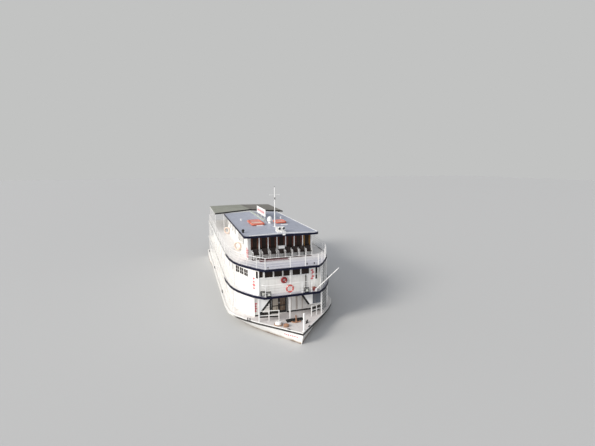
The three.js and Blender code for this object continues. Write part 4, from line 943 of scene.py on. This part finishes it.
# Deck boxes: black angle-iron frames with pale panels, used as low seats.
# The frames are welded, and a panel with a ridge along it fills each one.
def frame_bars(low, high, width):
    (x0, y0, z0), (x1, y1, z1) = low, high
    xs, ys, zs = ((a, b - width) for a, b in zip(low, high))
    spans = [((x0, y, z), (x1, y + width, z + width)) for y in ys for z in zs]
    spans += [((x, y0 + width, z), (x + width, y1 - width, z + width)) for x in xs for z in zs]
    return spans + [((x, y, z0 + width), (x + width, y + width, z1 - width)) for x in xs for y in ys]


panel_pale = paint("panel_pale", (0.72, 0.73, 0.66), (0.3, 0.3, 0.22), 0.5, 0.5)
for node, places in (("deck_seats_starboard", ((13.48, -2.615), (13.78, -2.17))),
                     ("deck_seat_port", ((13.78, 1.43),))):
    frames, panels = [], []
    for x, y in places:
        frames += frame_bars((x, y - 0.215, 4.505), (x + 0.24, y + 0.215, 4.91), 0.09)
        panels += [((x + 0.01, y - 0.13, 4.59), (x + 0.225, y + 0.13, 4.83)),
                   ((x + 0.085, y - 0.13, 4.83), (x + 0.155, y + 0.13, 4.895))]
    if len(places) > 1:
        frames.append(((13.66, -2.49, 4.501), (13.86, -2.31, 4.56)))
    piece(node + "_panels", boxed(panels, 0.008), panel_pale)
    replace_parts(piece(node + "_frames", boxed(frames), door_black), node)

# Boom: a white tubular derrick with clamp bands and an eye plate at its tip, on a step with two cheeks.
# A small reel with brown rope stands behind its step.
dress(white_paint, "boom_step", "boom")
BOOM_LIFT = math.radians(39)
boom_way = Vector((0, math.cos(BOOM_LIFT), math.sin(BOOM_LIFT)))
boom_foot = Vector((13.94, 2.33, 4.68))
boom_tilt = boom_way.to_track_quat("Z", "Y").to_matrix().to_4x4()
bands = bmesh.new()
for reach in (0.35, 1.2, 2.1, 2.8):
    radius = 0.052 - 0.014 * (reach + 0.06) / 3.0 + 0.006
    add_lathe(bands, ((radius - 0.012, 0), (radius, 0.002), (radius, 0.05), (radius - 0.012, 0.052)),
              boom_foot + boom_way * reach, 16, boom_tilt)
add_torus(bands, boom_foot + boom_way * 2.8 + Vector((0, 0.055, -0.055)), 0.03, 0.008, face_bow, 14, 6)
piece("boom_bands", bands, chrome, "boom")
REEL_AXLE_Y, REEL_AXLE_Z = 2.27, 4.70
boom_reel = boxed([((x - 0.012, 2.12, 4.501), (x + 0.012, 2.42, 4.83)) for x in (13.52, 13.79)])
add_rod(boom_reel, (13.50, REEL_AXLE_Y, REEL_AXLE_Z), (13.83, REEL_AXLE_Y, REEL_AXLE_Z), 0.02)
soften(boom_reel, 0.01)
piece("boom_reel", boom_reel, buoy_red)
boom_rope = bmesh.new()
for row, radius in enumerate((0.08, 0.11, 0.135)):
    for i in range(7 - row % 2):
        x = 13.555 + 0.033 * (i + 0.5 * (row % 2))
        add_torus(boom_rope, (x, REEL_AXLE_Y, REEL_AXLE_Z), radius, 0.017, face_bow, 24, 6)
piece("boom_rope", boom_rope, rope_brown)

# Top deck chairs: dark woven seats and backs with white arms, eight in a row on one ribbed mat.
# A dull red mat lies in front of them.
woven = paint("woven_dark", (0.028, 0.02, 0.018), (0.16, 0.12, 0.1), 0.5, 0.6)
weave_tree = woven.node_tree
wicker = {"Vector": object_place(weave_tree), "Scale": 14, "Mortar Size": 0.06}
weave = put(weave_tree, "ShaderNodeTexBrick", wicker, "Fac")
raise_over(woven, calc(weave_tree, "MULTIPLY", weave, -3.0))
chair_spots = [(10.3, y, 7.03, 0.0, (1, 1.1, 1.1)) for y in (-2.52, -1.6, -0.8, 0.02, 0.74, 1.46, 2.2, 2.9)]
FOLD = 0.45
seat_bm = bmesh.new()
shell = []
for i in range(13):
    t = i / 12
    lean = (t - FOLD) / (1 - FOLD)
    if t < FOLD:
        x, z = 0.22 - 0.42 * t / FOLD, 0.40 - 0.03 * math.sin(math.pi * t / FOLD)
    else:
        x, z = -0.20 - 0.055 * lean, 0.40 + 0.49 * lean
    hollow, width = (0.03 if i > 6 else 0.0), 0.56 - 0.10 * max(0, t - 0.75)
    shell.append([seat_bm.verts.new((x + hollow * (j / 3 - 1) ** 2, (j / 6 - 0.5) * width, z))
                  for j in range(7)])
seat_faces = [seat_bm.faces.new((shell[i][j], shell[i][j + 1], shell[i + 1][j + 1], shell[i + 1][j]))
              for i in range(12) for j in range(6)]
bmesh.ops.recalc_face_normals(seat_bm, faces=seat_faces)
bmesh.ops.solidify(seat_bm, geom=seat_faces, thickness=0.022)
arm_rests, chair_legs = bmesh.new(), bmesh.new()
for y in (-0.285, 0.285):
    add_plank(arm_rests, (-0.21, y, 0.645), (0.20, y, 0.635), 0.06, 0.025, (0, 0, 1))
    for part, a, b, radius in ((arm_rests, (0.19, y, 0.0), (0.21, y, 0.62), 0.02),
                               (arm_rests, (-0.205, y, 0.42), (-0.205, y, 0.64), 0.014),
                               (chair_legs, (-0.25, y, 0.0), (-0.21, y, 0.42), 0.013),
                               (chair_legs, (-0.22, y, 0.36), (0.2, y, 0.38), 0.012)):
        add_rod(part, a, b, radius, 8)
for name, pattern, finish, slot in (("chair_seats", seat_bm, woven, "dark"),
                                    ("chair_arms", arm_rests, white_paint, "white"),
                                    ("chair_legs", chair_legs, door_black, "dark")):
    set_copies(name, pattern, chair_spots, finish)
mat_ribs = [((10.0 + i * 0.0147, -2.94, 7.022), (10.007 + i * 0.0147, 3.14, 7.028)) for i in range(40)]
chair_mat = boxed([((9.985, -2.945, 7.001), (10.595, 3.145, 7.022)), *mat_ribs])
mat_dark = paint("mat_dark", (0.05, 0.02, 0.02), amount=0.4, gloss=0.8)
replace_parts(piece("chair_mat", chair_mat, mat_dark), "chair_row")
piece("front_mat", boxed([((10.62, -2.35, 7.001), (11.35, 0.55, 7.012))], 0.004),
      paint("mat_red", (0.14, 0.05, 0.06), (0.3, 0.2, 0.2), 0.6, 0.85))
stand = ((0.06, 0.001), (0.06, 0.02), (0.03, 0.03), (0.03, 0.08), (0.055, 0.09), (0.055, 0.16), (0.02, 0.18))
deck_lamps = bmesh.new()
for x, y in ((13.78, -2.17), (13.5, 1.6), (13.54, 2.3)):
    add_lathe(deck_lamps, stand, (x, y, DECK_3), 14)
piece("deck_lamps", deck_lamps, door_black)

# Main roof: painted sheet with standing seams down each slope, gutters at its edges and a navy fascia.
# A green duct in six lengths runs along the ridge, and a flood lamp is screwed to the front.
roof_paint = paint("roof_paint", (0.39, 0.41, 0.47), (0.2, 0.2, 0.2), 0.4, 0.42, 1.0)
canopy_paint = paint("canopy_paint", (0.285, 0.29, 0.245), (0.13, 0.11, 0.09), 0.5, 0.6, 1.0)
dress(roof_paint, "main_roof")
dress(canopy_paint, "canopy")


def top_of(node, x, y):
    hit, spot, _, _ = cad[node].ray_cast(Vector((x, y, 12.0)), Vector((0, 0, -1)))
    return spot.z if hit else None


def add_draped(bm, node, line, half_width, high):
    rows = []
    for i, (x, y) in enumerate(line):
        ahead = Vector(line[min(i + 1, len(line) - 1)]) - Vector(line[max(i - 1, 0)])
        across = Vector((-ahead.y, ahead.x)).normalized() * half_width
        z = top_of(node, x, y)
        if z is not None:
            rows.append([bm.verts.new((x + across.x * s, y + across.y * s, z + lift))
                         for s, lift in ((-1, -0.004), (-1, high), (1, high), (1, -0.004))])
    if len(rows) > 1:
        bridge(bm, rows)


def sheet_seams(name, node, finish, seam_xs, seam_ys, ridge_xs, ridge_half):
    ribs = bmesh.new()
    for x in seam_xs:
        for side in (-1, 1):
            add_draped(ribs, node, [(x, side * y) for y in seam_ys], 0.012, 0.022)
    add_draped(ribs, node, [(x, 0.0) for x in ridge_xs], ridge_half, 0.02)
    piece(name, ribs, finish)


sheet_seams("roof_seams", "main_roof", roof_paint, [10.85 - 0.76 * i for i in range(22)],
            [0.06 + 0.515 * k for k in range(8)], [11.0 - 0.55 * k for k in range(31)], 0.05)
spans = []
for i in range(6):
    spans += [((-5.5 + 1.5 * i, -0.16, 9.60), (-4.03 + 1.5 * i, 0.1, 9.74)),
              ((-4.05 + 1.5 * i, -0.18, 9.60), (-3.99 + 1.5 * i, 0.12, 9.755))]
duct_green = paint("duct_green", (0.42, 0.46, 0.42), amount=0.5, gloss=0.5)
piece("ridge_duct", boxed(spans, 0.01), duct_green)
for name, finish, slot, half, line in (
        ("port_gutter", white_paint, "white", 0.03, [(10.6 - 0.8 * k, 3.685) for k in range(21)]),
        ("starboard_gutter", roof_paint, "roof", 0.03, [(10.6 - 0.8 * k, -3.685) for k in range(21)]),
        ("front_gutter", white_paint, "white", 0.045, [(11.0, -3.3 + 0.55 * k) for k in range(13)])):
    gutter = bmesh.new()
    add_draped(gutter, "main_roof", line, half, 0.035)
    piece(name, gutter, finish)
flood_lamp = [((11.11, -0.06, 9.42), (11.16, 0.22, 9.58)), ((11.165, -0.045, 9.435), (11.175, 0.205, 9.565))]
piece("flood_lamp", boxed(flood_lamp, 0.008), white_paint)

# Rafts: rigid foam floats in the shape of rounded rings, covered in orange cloth, with a ribbed floor between.
# Each stands on two low white skids.
raft_orange = paint("raft_orange", (0.58, 0.14, 0.085), (0.20, 0.05, 0.04), 0.6, 0.6)
raft_pink = paint("raft_pink", (0.66, 0.30, 0.25), (0.45, 0.09, 0.07), 0.8, 0.6)


def rounded_line(half_x, half_y, corner, count):
    points = []
    for quarter, (cx, cy) in enumerate(((1, 1), (-1, 1), (-1, -1), (1, -1))):
        for i in range(count + 1):
            angle = (quarter + i / count) * math.pi / 2
            points.append((cx * (half_x - corner) + corner * math.cos(angle),
                           cy * (half_y - corner) + corner * math.sin(angle)))
    return points


def add_tube(bm, points, radius, around, closed=False):
    points = [Vector(p) for p in points]
    last = len(points) - 1
    rings = []
    for i, point in enumerate(points):
        before = points[i - 1] if closed or i else point
        after = points[(i + 1) % (last + 1)] if closed or i < last else point
        way = (after - before).normalized()
        side = way.cross(Vector((0, 0, 1)))
        side = side.normalized() if side.length > 0.01 else Vector((1, 0, 0))
        up = side.cross(way)
        rings.append([bm.verts.new(point + (side * math.cos(k) + up * math.sin(k)) * radius)
                      for k in steps(around)])
    bridge(bm, rings, closed)


for node, pad_y in (("raft_starboard", -1.22), ("raft_port", 1.5)):
    spots = [cad[node].matrix_world @ v.co for v in cad[node].data.vertices]
    low, high = (Vector([pick(p[i] for p in spots) for i in range(3)]) for pick in (min, max))
    x, y, z = (low + high) / 2
    half_x, half_y, thick = (high - low) / 2
    tube = min(thick, 0.16)
    inner = half_y - tube
    raft = bmesh.new()
    add_tube(raft, [(x + u, y + v, z) for u, v in rounded_line(half_x - tube, inner, 0.2, 5)], tube, 14, True)
    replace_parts(piece(node + "_float", raft, raft_orange), node)
    slat_xs = [x - half_x + tube + 0.1 + i * 0.16 for i in range(int((half_x - tube) * 2 / 0.16))]
    slats = boxed([((u, y - inner, z - 0.03), (u + 0.15, y + inner, z + 0.05)) for u in slat_xs], 0.012)
    piece(node + "_slats", slats, raft_pink)
    # A pale cream band across each raft's floor is a painted highlight.
    highlight_x = x + half_x * 0.25
    raft_highlight = boxed([((highlight_x, y - inner, z + 0.051), (highlight_x + 0.35, y + inner, z + 0.075))], 0.01)
    piece(node + "_strap", raft_highlight, cream_foam)
    skids = bmesh.new()
    for u in (x - half_x * 0.6, x + half_x * 0.6):
        base = min(top_of("main_roof", u, y + s * half_y * 0.9) or low.z for s in (-1, 1))
        add_box(skids, (u - 0.05, y - half_y + 0.05, base), (u + 0.05, y + half_y - 0.05, low.z + 0.04))
        for s in (-1, 1):
            lashing = [(u, y + s * (inner + (tube + 0.012) * math.sin(k)), z + (thick + 0.012) * math.cos(k))
                       for k in steps(16)[:9]]
            add_tube(skids, lashing, 0.014, 6)
    base = top_of("main_roof", 6.2, pad_y + math.copysign(0.3, pad_y))
    add_box(skids, (6.12, pad_y - 0.36, base - 0.002), (6.30, pad_y + 0.36, base + 0.1))
    soften(skids, 0.005)
    piece(node + "_skids", skids, white_paint)

# Radome: a dome of glass fibre moulded on a drum foot, joined by a bolted band.
# It stands on the ridge behind the mast.
dome = bmesh.new()
dome_profile = ((0.19, 9.605), (0.19, 9.64), (0.165, 9.65), (0.165, 9.80), (0.19, 9.825), (0.265, 9.875),
                (0.27, 9.90), (0.276, 9.905), (0.276, 9.945), (0.27, 9.95), (0.27, 10.12), (0.262, 10.18),
                (0.24, 10.25), (0.20, 10.32), (0.14, 10.375), (0.07, 10.402), (0.01, 10.409))
add_lathe(dome, dome_profile, (5.0, 0.15, 0), 36)
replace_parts(piece("radar_dome", dome, white_paint), "radome")

# Mast: tapered steel tube with clamp rings and a short crosstree that has a knob at each end.
# Its shoe is bolted to the ridge at four corners; two black lamps are clamped to it.
MAST_X, MAST_Y = 7.5, 0.1
mast = boxed([((7.35, -0.05, 9.60), (7.65, 0.25, 9.66)), ((7.42, 0.02, 9.66), (7.58, 0.18, 9.75))], 0.012)
add_rod(mast, (MAST_X, MAST_Y, 9.74), (MAST_X, MAST_Y, 13.86), 0.058, 16, 0.034)
for z, radius in ((10.6, 0.07), (12.1, 0.062), (13.0, 0.055)):
    add_rod(mast, (MAST_X, MAST_Y, z), (MAST_X, MAST_Y, z + 0.05), radius, 16)
add_rod(mast, (MAST_X, -0.42, 13.02), (MAST_X, 0.62, 13.02), 0.016)
for y in (-0.4, 0.6):
    add_lathe(mast, ((0.028, 13.0), (0.028, 13.06), (0.012, 13.07), (0.012, 13.09)), (MAST_X, y, 0), 10)
for x in (7.38, 7.62):
    for y in (-0.02, 0.22):
        add_rod(mast, (x, y, 9.66), (x, y, 9.685), 0.016, 6)
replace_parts(piece("mast_tube", mast, white_paint), "mast")
top_lamp = bmesh.new()
masthead = ((0.03, 13.84), (0.05, 13.85), (0.05, 13.87), (0.038, 13.875), (0.038, 13.89), (0.02, 13.9))
lantern = ((0.03, 12.55), (0.06, 12.56), (0.06, 12.60), (0.045, 12.61), (0.045, 12.70), (0.06, 12.71),
           (0.06, 12.74), (0.02, 12.77))
add_lathe(top_lamp, masthead, (MAST_X, MAST_Y, 0), 16)
add_lathe(top_lamp, lantern, (MAST_X + 0.1, MAST_Y, 0), 16)
piece("mast_lamps", top_lamp, door_black)

# Sign board: a long blank panel of sheet in a frame of angle iron, with red leaves on each face.
# It stands on three legs, whose foot plates are screwed to the roof beside the ridge.
spans = [((-2.97, 0.325, 9.93), (1.92, 0.375, 10.73))]
spans += [((x0, 0.32, z0), (x1, 0.38, z1)) for x0, x1, z0, z1 in (
    (-3.0, 1.95, 9.90, 9.95), (-3.0, 1.95, 10.71, 10.76),
    (-3.0, -2.95, 9.95, 10.71), (1.90, 1.95, 9.95, 10.71))]
for x in (-2.45, -0.5, 1.45):
    base = top_of("main_roof", x, 0.35)
    spans += [((x - 0.05, 0.33, base), (x + 0.05, 0.37, 9.93)),
              ((x - 0.09, 0.27, base - 0.002), (x + 0.09, 0.43, base + 0.012))]
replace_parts(piece("sign_panel", boxed(spans, 0.006), white_paint), "sign_board")

# Lamp bracket: a white plate on the roof with a cable box aft and a turntable post.
# Pressed louvres are let into the box's forward face.
bracket = boxed([((9.75, -0.42, 9.615), (10.68, 0.42, 9.68)), ((9.76, -0.41, 9.68), (10.06, 0.41, 10.02)),
                 ((9.745, -0.425, 10.02), (10.075, 0.425, 10.045))], 0.01)
for z in (9.74 + i * 0.042 for i in range(6)):
    for y in (-0.2, 0.2):
        add_plank(bracket, (10.068, y - 0.14, z), (10.068, y + 0.14, z), 0.02, 0.012, (1, 0, 0.5))
LAMP_X = 10.5
turntable = ((0.13, 9.68), (0.13, 9.695), (0.075, 9.70), (0.068, 9.79), (0.068, 9.80))
add_lathe(bracket, turntable, (LAMP_X, 0, 0), 24)
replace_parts(piece("lamp_base", bracket, white_paint), "lamp_bracket")

# Searchlights: twin white drums on a yoke, deep rims, ribbed backs and dark lenses with wire guards.
# The drums are spun from sheet and held by pins through the yoke's cheeks.
LAMP_Z = 9.99
lens = paint("lamp_lens", (0.03, 0.035, 0.04), (0.1, 0.1, 0.1), 0.2, 0.04, relief=0.0005)
lights, lenses, guards = boxed([((10.46, -0.32, 9.803), (10.54, 0.32, 9.84))]), bmesh.new(), bmesh.new()
for y in (-0.21, 0.21):
    for arm in (-0.145, 0.145):
        add_box(lights, (10.475, y + arm - 0.008, 9.83), (10.525, y + arm + 0.008, 10.0))
        add_rod(lights, (LAMP_X, y + arm * 0.86, LAMP_Z), (LAMP_X, y + arm * 1.12, LAMP_Z), 0.022, 12)
soften(lights, 0.004)
turn_bow = Matrix.Rotation(math.pi / 2, 4, "Y")
lens_profile = ((0.125, 0.108), (0.11, 0.116), (0.07, 0.122), (0.01, 0.124))
lamp_profile = ((0.05, -0.13), (0.10, -0.125), (0.115, -0.10), (0.12, -0.06), (0.13, -0.055), (0.13, -0.04),
                (0.122, -0.035), (0.125, 0.0), (0.135, 0.005), (0.135, 0.02), (0.128, 0.025), (0.13, 0.09),
                (0.145, 0.095), (0.145, 0.13), (0.132, 0.13), (0.128, 0.105), (0.01, 0.104))
for y in (-0.21, 0.21):
    add_lathe(lights, lamp_profile, (LAMP_X, y, LAMP_Z), 28, turn_bow)
    add_lathe(lenses, lens_profile, (LAMP_X, y, LAMP_Z), 24, turn_bow)
    for off in (-0.06, 0.0, 0.06):
        reach = math.sqrt(0.13 ** 2 - off ** 2)
        add_rod(guards, (10.628, y + off, LAMP_Z - reach), (10.628, y + off, LAMP_Z + reach), 0.0035, 6)
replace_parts(piece("search_drums", lights, white_paint, "searchlights"), "searchlights")
piece("search_lenses", lenses, lens, "searchlights")
piece("search_guards", guards, chrome, "searchlights")

# Horn: a black ball housing on a foot at the starboard edge of the roof, with a flared mouth.
# Two side lamps and two mushroom vents stand farther aft.
HORN_X, HORN_Y = 9.1, -3.55
base = top_of("main_roof", HORN_X, HORN_Y)
horn_centre = (HORN_X, HORN_Y, base + 0.225)
horn = boxed([((9.0, -3.65, base - 0.002), (9.2, -3.45, base + 0.06))], 0.012, 2)
add_rod(horn, (HORN_X, HORN_Y, base + 0.05), (HORN_X, HORN_Y, base + 0.14), 0.05, 16)
add_ball(horn, horn_centre, 0.145, 28, 18)
mouth = ((0.05, 0.10), (0.055, 0.15), (0.075, 0.17), (0.08, 0.175), (0.07, 0.176), (0.04, 0.15), (0.01, 0.14))
add_lathe(horn, mouth, horn_centre, 20, turn_bow)
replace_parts(piece("horn_ball", horn, door_black), "horn")
vents = bmesh.new()
for x, y in ((1.67, -2.55), (1.37, 2.42)):
    add_lathe(vents, ((0.088, 0), (0.088, 0.02), (0.064, 0.03), (0.064, 0.16), (0.128, 0.168), (0.132, 0.192),
                      (0.096, 0.232), (0.02, 0.248)), (x, y, top_of("main_roof", x, y) - 0.004), 20)
piece("roof_vents", vents, white_paint)
side_lamps = bmesh.new()
for y in (-3.36, 3.36):
    for z in (8.86, 9.09):
        add_box(side_lamps, (8.78, y - 0.056, z), (9.02, y + 0.056, z + 0.02))
    add_lathe(side_lamps, ((0.045, 8.88), (0.045, 8.9), (0.038, 8.905), (0.038, 9.065), (0.045, 9.07),
                           (0.045, 9.09)), (8.94, y, 0), 16)
piece("side_lamps", side_lamps, door_black)

# Canopy: steel sheet over rafters, seamed like the roof, with a black fascia board across its front.
# The sheet was laid in two halves; the port half, sloping away from the sun, is painted darker as painted
# shade.
canopy_tree = canopy_paint.node_tree
shaded_port_half = calc(canopy_tree, "GREATER_THAN", coordinate(canopy_tree, 1), 0.0)
coat_over(canopy_paint, calc(canopy_tree, "MULTIPLY", shaded_port_half, 0.55), (0.14, 0.12, 0.115, 1))
sheet_seams("canopy_seams", "canopy", canopy_paint, [-6.95 - 0.76 * i for i in range(12)],
            [0.06 + 0.482 * k for k in range(11)], [-6.75 - 0.52 * k for k in range(18)], 0.06)
edge_board = bmesh.new()
for side in (-1, 1):
    outline = ((0.0, 9.68), (side * 4.93, 9.285), (side * 4.93, 9.468), (0.0, 9.865))
    bridge(edge_board, [[edge_board.verts.new((x, y, z)) for y, z in outline] for x in (-6.66, -6.625)])
piece("canopy_board", edge_board, door_black)
rafters = bmesh.new()
for x in (-6.9 - 1.1 * i for i in range(9)):
    for side in (-1, 1):
        ends = []
        for y in (side * 0.06, side * 4.8):
            under = cad["canopy"].ray_cast(Vector((x, y, 8.0)), Vector((0, 0, 1)))[1]
            ends.append((x, y, under.z - 0.055))
        add_plank(rafters, *ends, 0.05, 0.07, (0, 0, 1))
soften(rafters, 0.005)
piece("canopy_rafters", rafters, white_paint)

# Paddle wheel: three steel spiders on one shaft, round rims, twelve floats of two boards each, bolted through.
# The shaft turns in the blocks of the two wheel beams, which have a bolted ring on each face.
timber = paint("wheel_timber", (0.27, 0.045, 0.03), (0.10, 0.05, 0.03), 0.6, 0.62)
timber_tree = timber.node_tree
along_board = {"Vector": object_place(timber_tree), "Scale": (30, 1.2, 30)}
stretch = put(timber_tree, "ShaderNodeMapping", along_board)
grain = put(timber_tree, "ShaderNodeTexNoise", {"Vector": stretch}, "Fac")
coat_over(timber, spread(timber_tree, grain, 0.45, 0.7), (0.10, 0.03, 0.02, 1))
wheel_red = paint("wheel_red", (0.30, 0.035, 0.025), (0.1, 0.04, 0.03), 0.5, 0.5)
black_iron = paint("black_iron", (0.05, 0.05, 0.052), (0.12, 0.07, 0.04), 0.5, 0.5, metal=0.3)
WHEEL = Vector((-18.7, 0, 2.35))
SPIDERS = (-3.6, 0.0, 3.6)
ARM_TURNS = steps(12)


def on_spiders(lead=0.0):
    return [(WHEEL.x, y, WHEEL.z, (0, turn + lead, 0)) for turn in ARM_TURNS for y in SPIDERS]


def add_hoop(bm, inner, outer, y, half, sides=72):
    section = ((inner, y - half), (outer, y - half), (outer, y + half), (inner, y + half))
    bridge(bm, [[bm.verts.new((WHEEL.x + r * math.cos(k), v, WHEEL.z + r * math.sin(k))) for r, v in section]
                for k in steps(sides)], True)


boards = boxed([((low, a, 0.032), (high, b, 0.078)) for low, high in ((1.475, 1.68), (1.69, 1.895))
                for a, b in ((-3.895, -0.003), (0.003, 3.895))], 0.008)
float_places = [(*WHEEL, (0, turn, 0)) for turn in ARM_TURNS]
set_copies("wheel_floats", boards, float_places, timber, "paddle_wheel")
flanges = [((0.2, -0.042, -0.012), (1.86, 0.042, 0.012)), ((0.2, -0.012, -0.042), (1.86, 0.012, 0.03))]
arm = boxed(flanges, 0.004)
for reach in (1.53, 1.63, 1.74, 1.84):
    add_rod(arm, (reach, 0.026, -0.02), (reach, 0.026, 0.095), 0.014, 6)
set_copies("wheel_arms", arm, on_spiders(), wheel_red, "paddle_wheel")
rims = bmesh.new()
for y in SPIDERS:
    for inner, outer, half, sides in ((1.385, 1.465, 0.045, 72), (0.80, 0.85, 0.03, 72),
                                      (0.096, 0.26, 0.07, 36), (0.096, 0.17, 0.12, 36)):
        add_hoop(rims, inner, outer, y, half, sides)
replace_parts(piece("wheel_rims", rims, wheel_red, "paddle_wheel"), "paddle_wheel")
hub_bolt = bmesh.new()
add_rod(hub_bolt, (0.215, -0.085, 0), (0.215, 0.085, 0), 0.02, 6)
set_copies("hub_bolts", hub_bolt, on_spiders(math.pi / 12), black_iron, "paddle_wheel")
shaft = bmesh.new()
add_rod(shaft, (WHEEL.x, -4.5, WHEEL.z), (WHEEL.x, 4.5, WHEEL.z), 0.0945, 32)
for y in (-4.165, 4.165):
    add_hoop(shaft, 0.0948, 0.135, y, 0.035, 32)
piece("wheel_shaft", shaft, black_iron, "paddle_wheel")
dress(white_paint, "wheel_beam_port", "wheel_beam_starboard")
bearings = bmesh.new()
for beam_y in (-4.35, 4.35):
    for face in (-1, 1):
        y = beam_y + face * 0.11
        add_hoop(bearings, 0.098, 0.16, y + face * 0.006, 0.006, 32)
        for x in (WHEEL.x - 0.2, WHEEL.x + 0.2):
            for z in (WHEEL.z - 0.26, WHEEL.z + 0.16):
                add_rod(bearings, (x, y, z), (x, y + face * 0.018, z), 0.022, 6)
piece("bearing_rings", bearings, black_iron)

# Rudders: iron plate blades on round stocks, with straps from the stock over both sides of the blade.
# Three rivets hold each strap.
dress(black_iron, "rudder_port", "rudder_starboard")
for word, rudder_y in (("port", 2.0), ("starboard", -2.0)):
    straps = bmesh.new()
    for z in (0.3, 0.55, 0.8):
        for face in (-1, 1):
            low, high = sorted((rudder_y + face * 0.0302, rudder_y + face * 0.038))
            add_box(straps, (-16.9, low, z - 0.03), (-16.2, high, z + 0.03))
            for x in (-16.82, -16.6, -16.38):
                add_rod(straps, (x, rudder_y + face * 0.036, z), (x, rudder_y + face * 0.048, z), 0.014, 6)
    piece(f"rudder_straps_{word}", straps, wheel_red, f"rudder_{word}")

# Engine: a steam engine seen through the aft doorway: bed plate, two cylinders, chest, pipes and handwheels.
# Two bent pipes rise from the chest and meet a cross pipe ahead of the cylinders.
spans = [((-13.2, -1.2, 2.102), (-9.2, 1.2, 2.28)), ((-11.9, -1.0, 2.28), (-9.6, 1.0, 3.1))]
spans += [((-11.85 + i * 0.28, -1.04, 2.3), (-11.78 + i * 0.28, 1.04, 3.06)) for i in range(8)]
engine, steam_pipes = boxed(spans, 0.02), bmesh.new()
face_aft = Matrix.Rotation(-math.pi / 2, 4, "Y")
cylinder = ((0.30, -1.1), (0.34, -1.09), (0.34, -1.02), (0.28, -1.0), (0.28, 0.0), (0.34, 0.02), (0.34, 0.09),
            (0.12, 0.1), (0.12, 0.16), (0.02, 0.16))
for y in (-0.62, 0.62):
    add_lathe(engine, cylinder, (-12.0, y, 2.72), 28, face_aft)
    add_rod(engine, (-12.15, y, 2.72), (-13.15, y, 2.72), 0.05, 14)
    add_box(engine, (-13.1, y - 0.18, 2.28), (-12.9, y + 0.18, 2.5))
    bent_pipe = [(-11.6, 3.0), (-11.6, 3.3), (-11.55, 3.42), (-11.43, 3.5), (-10.2, 3.52)]
    add_tube(steam_pipes, [(x, y, z) for x, z in bent_pipe], 0.06, 12)
    add_torus(steam_pipes, (-10.9, y, 3.3), 0.12, 0.012, None, 24, 6)
    add_rod(steam_pipes, (-10.9, y, 3.05), (-10.9, y, 3.5), 0.016, 8)
add_rod(steam_pipes, (-10.2, -0.75, 3.52), (-10.2, 0.75, 3.52), 0.07, 14)
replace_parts(piece("engine_block", engine, black_iron), "engine")
piece("steam_pipes", steam_pipes, chrome)
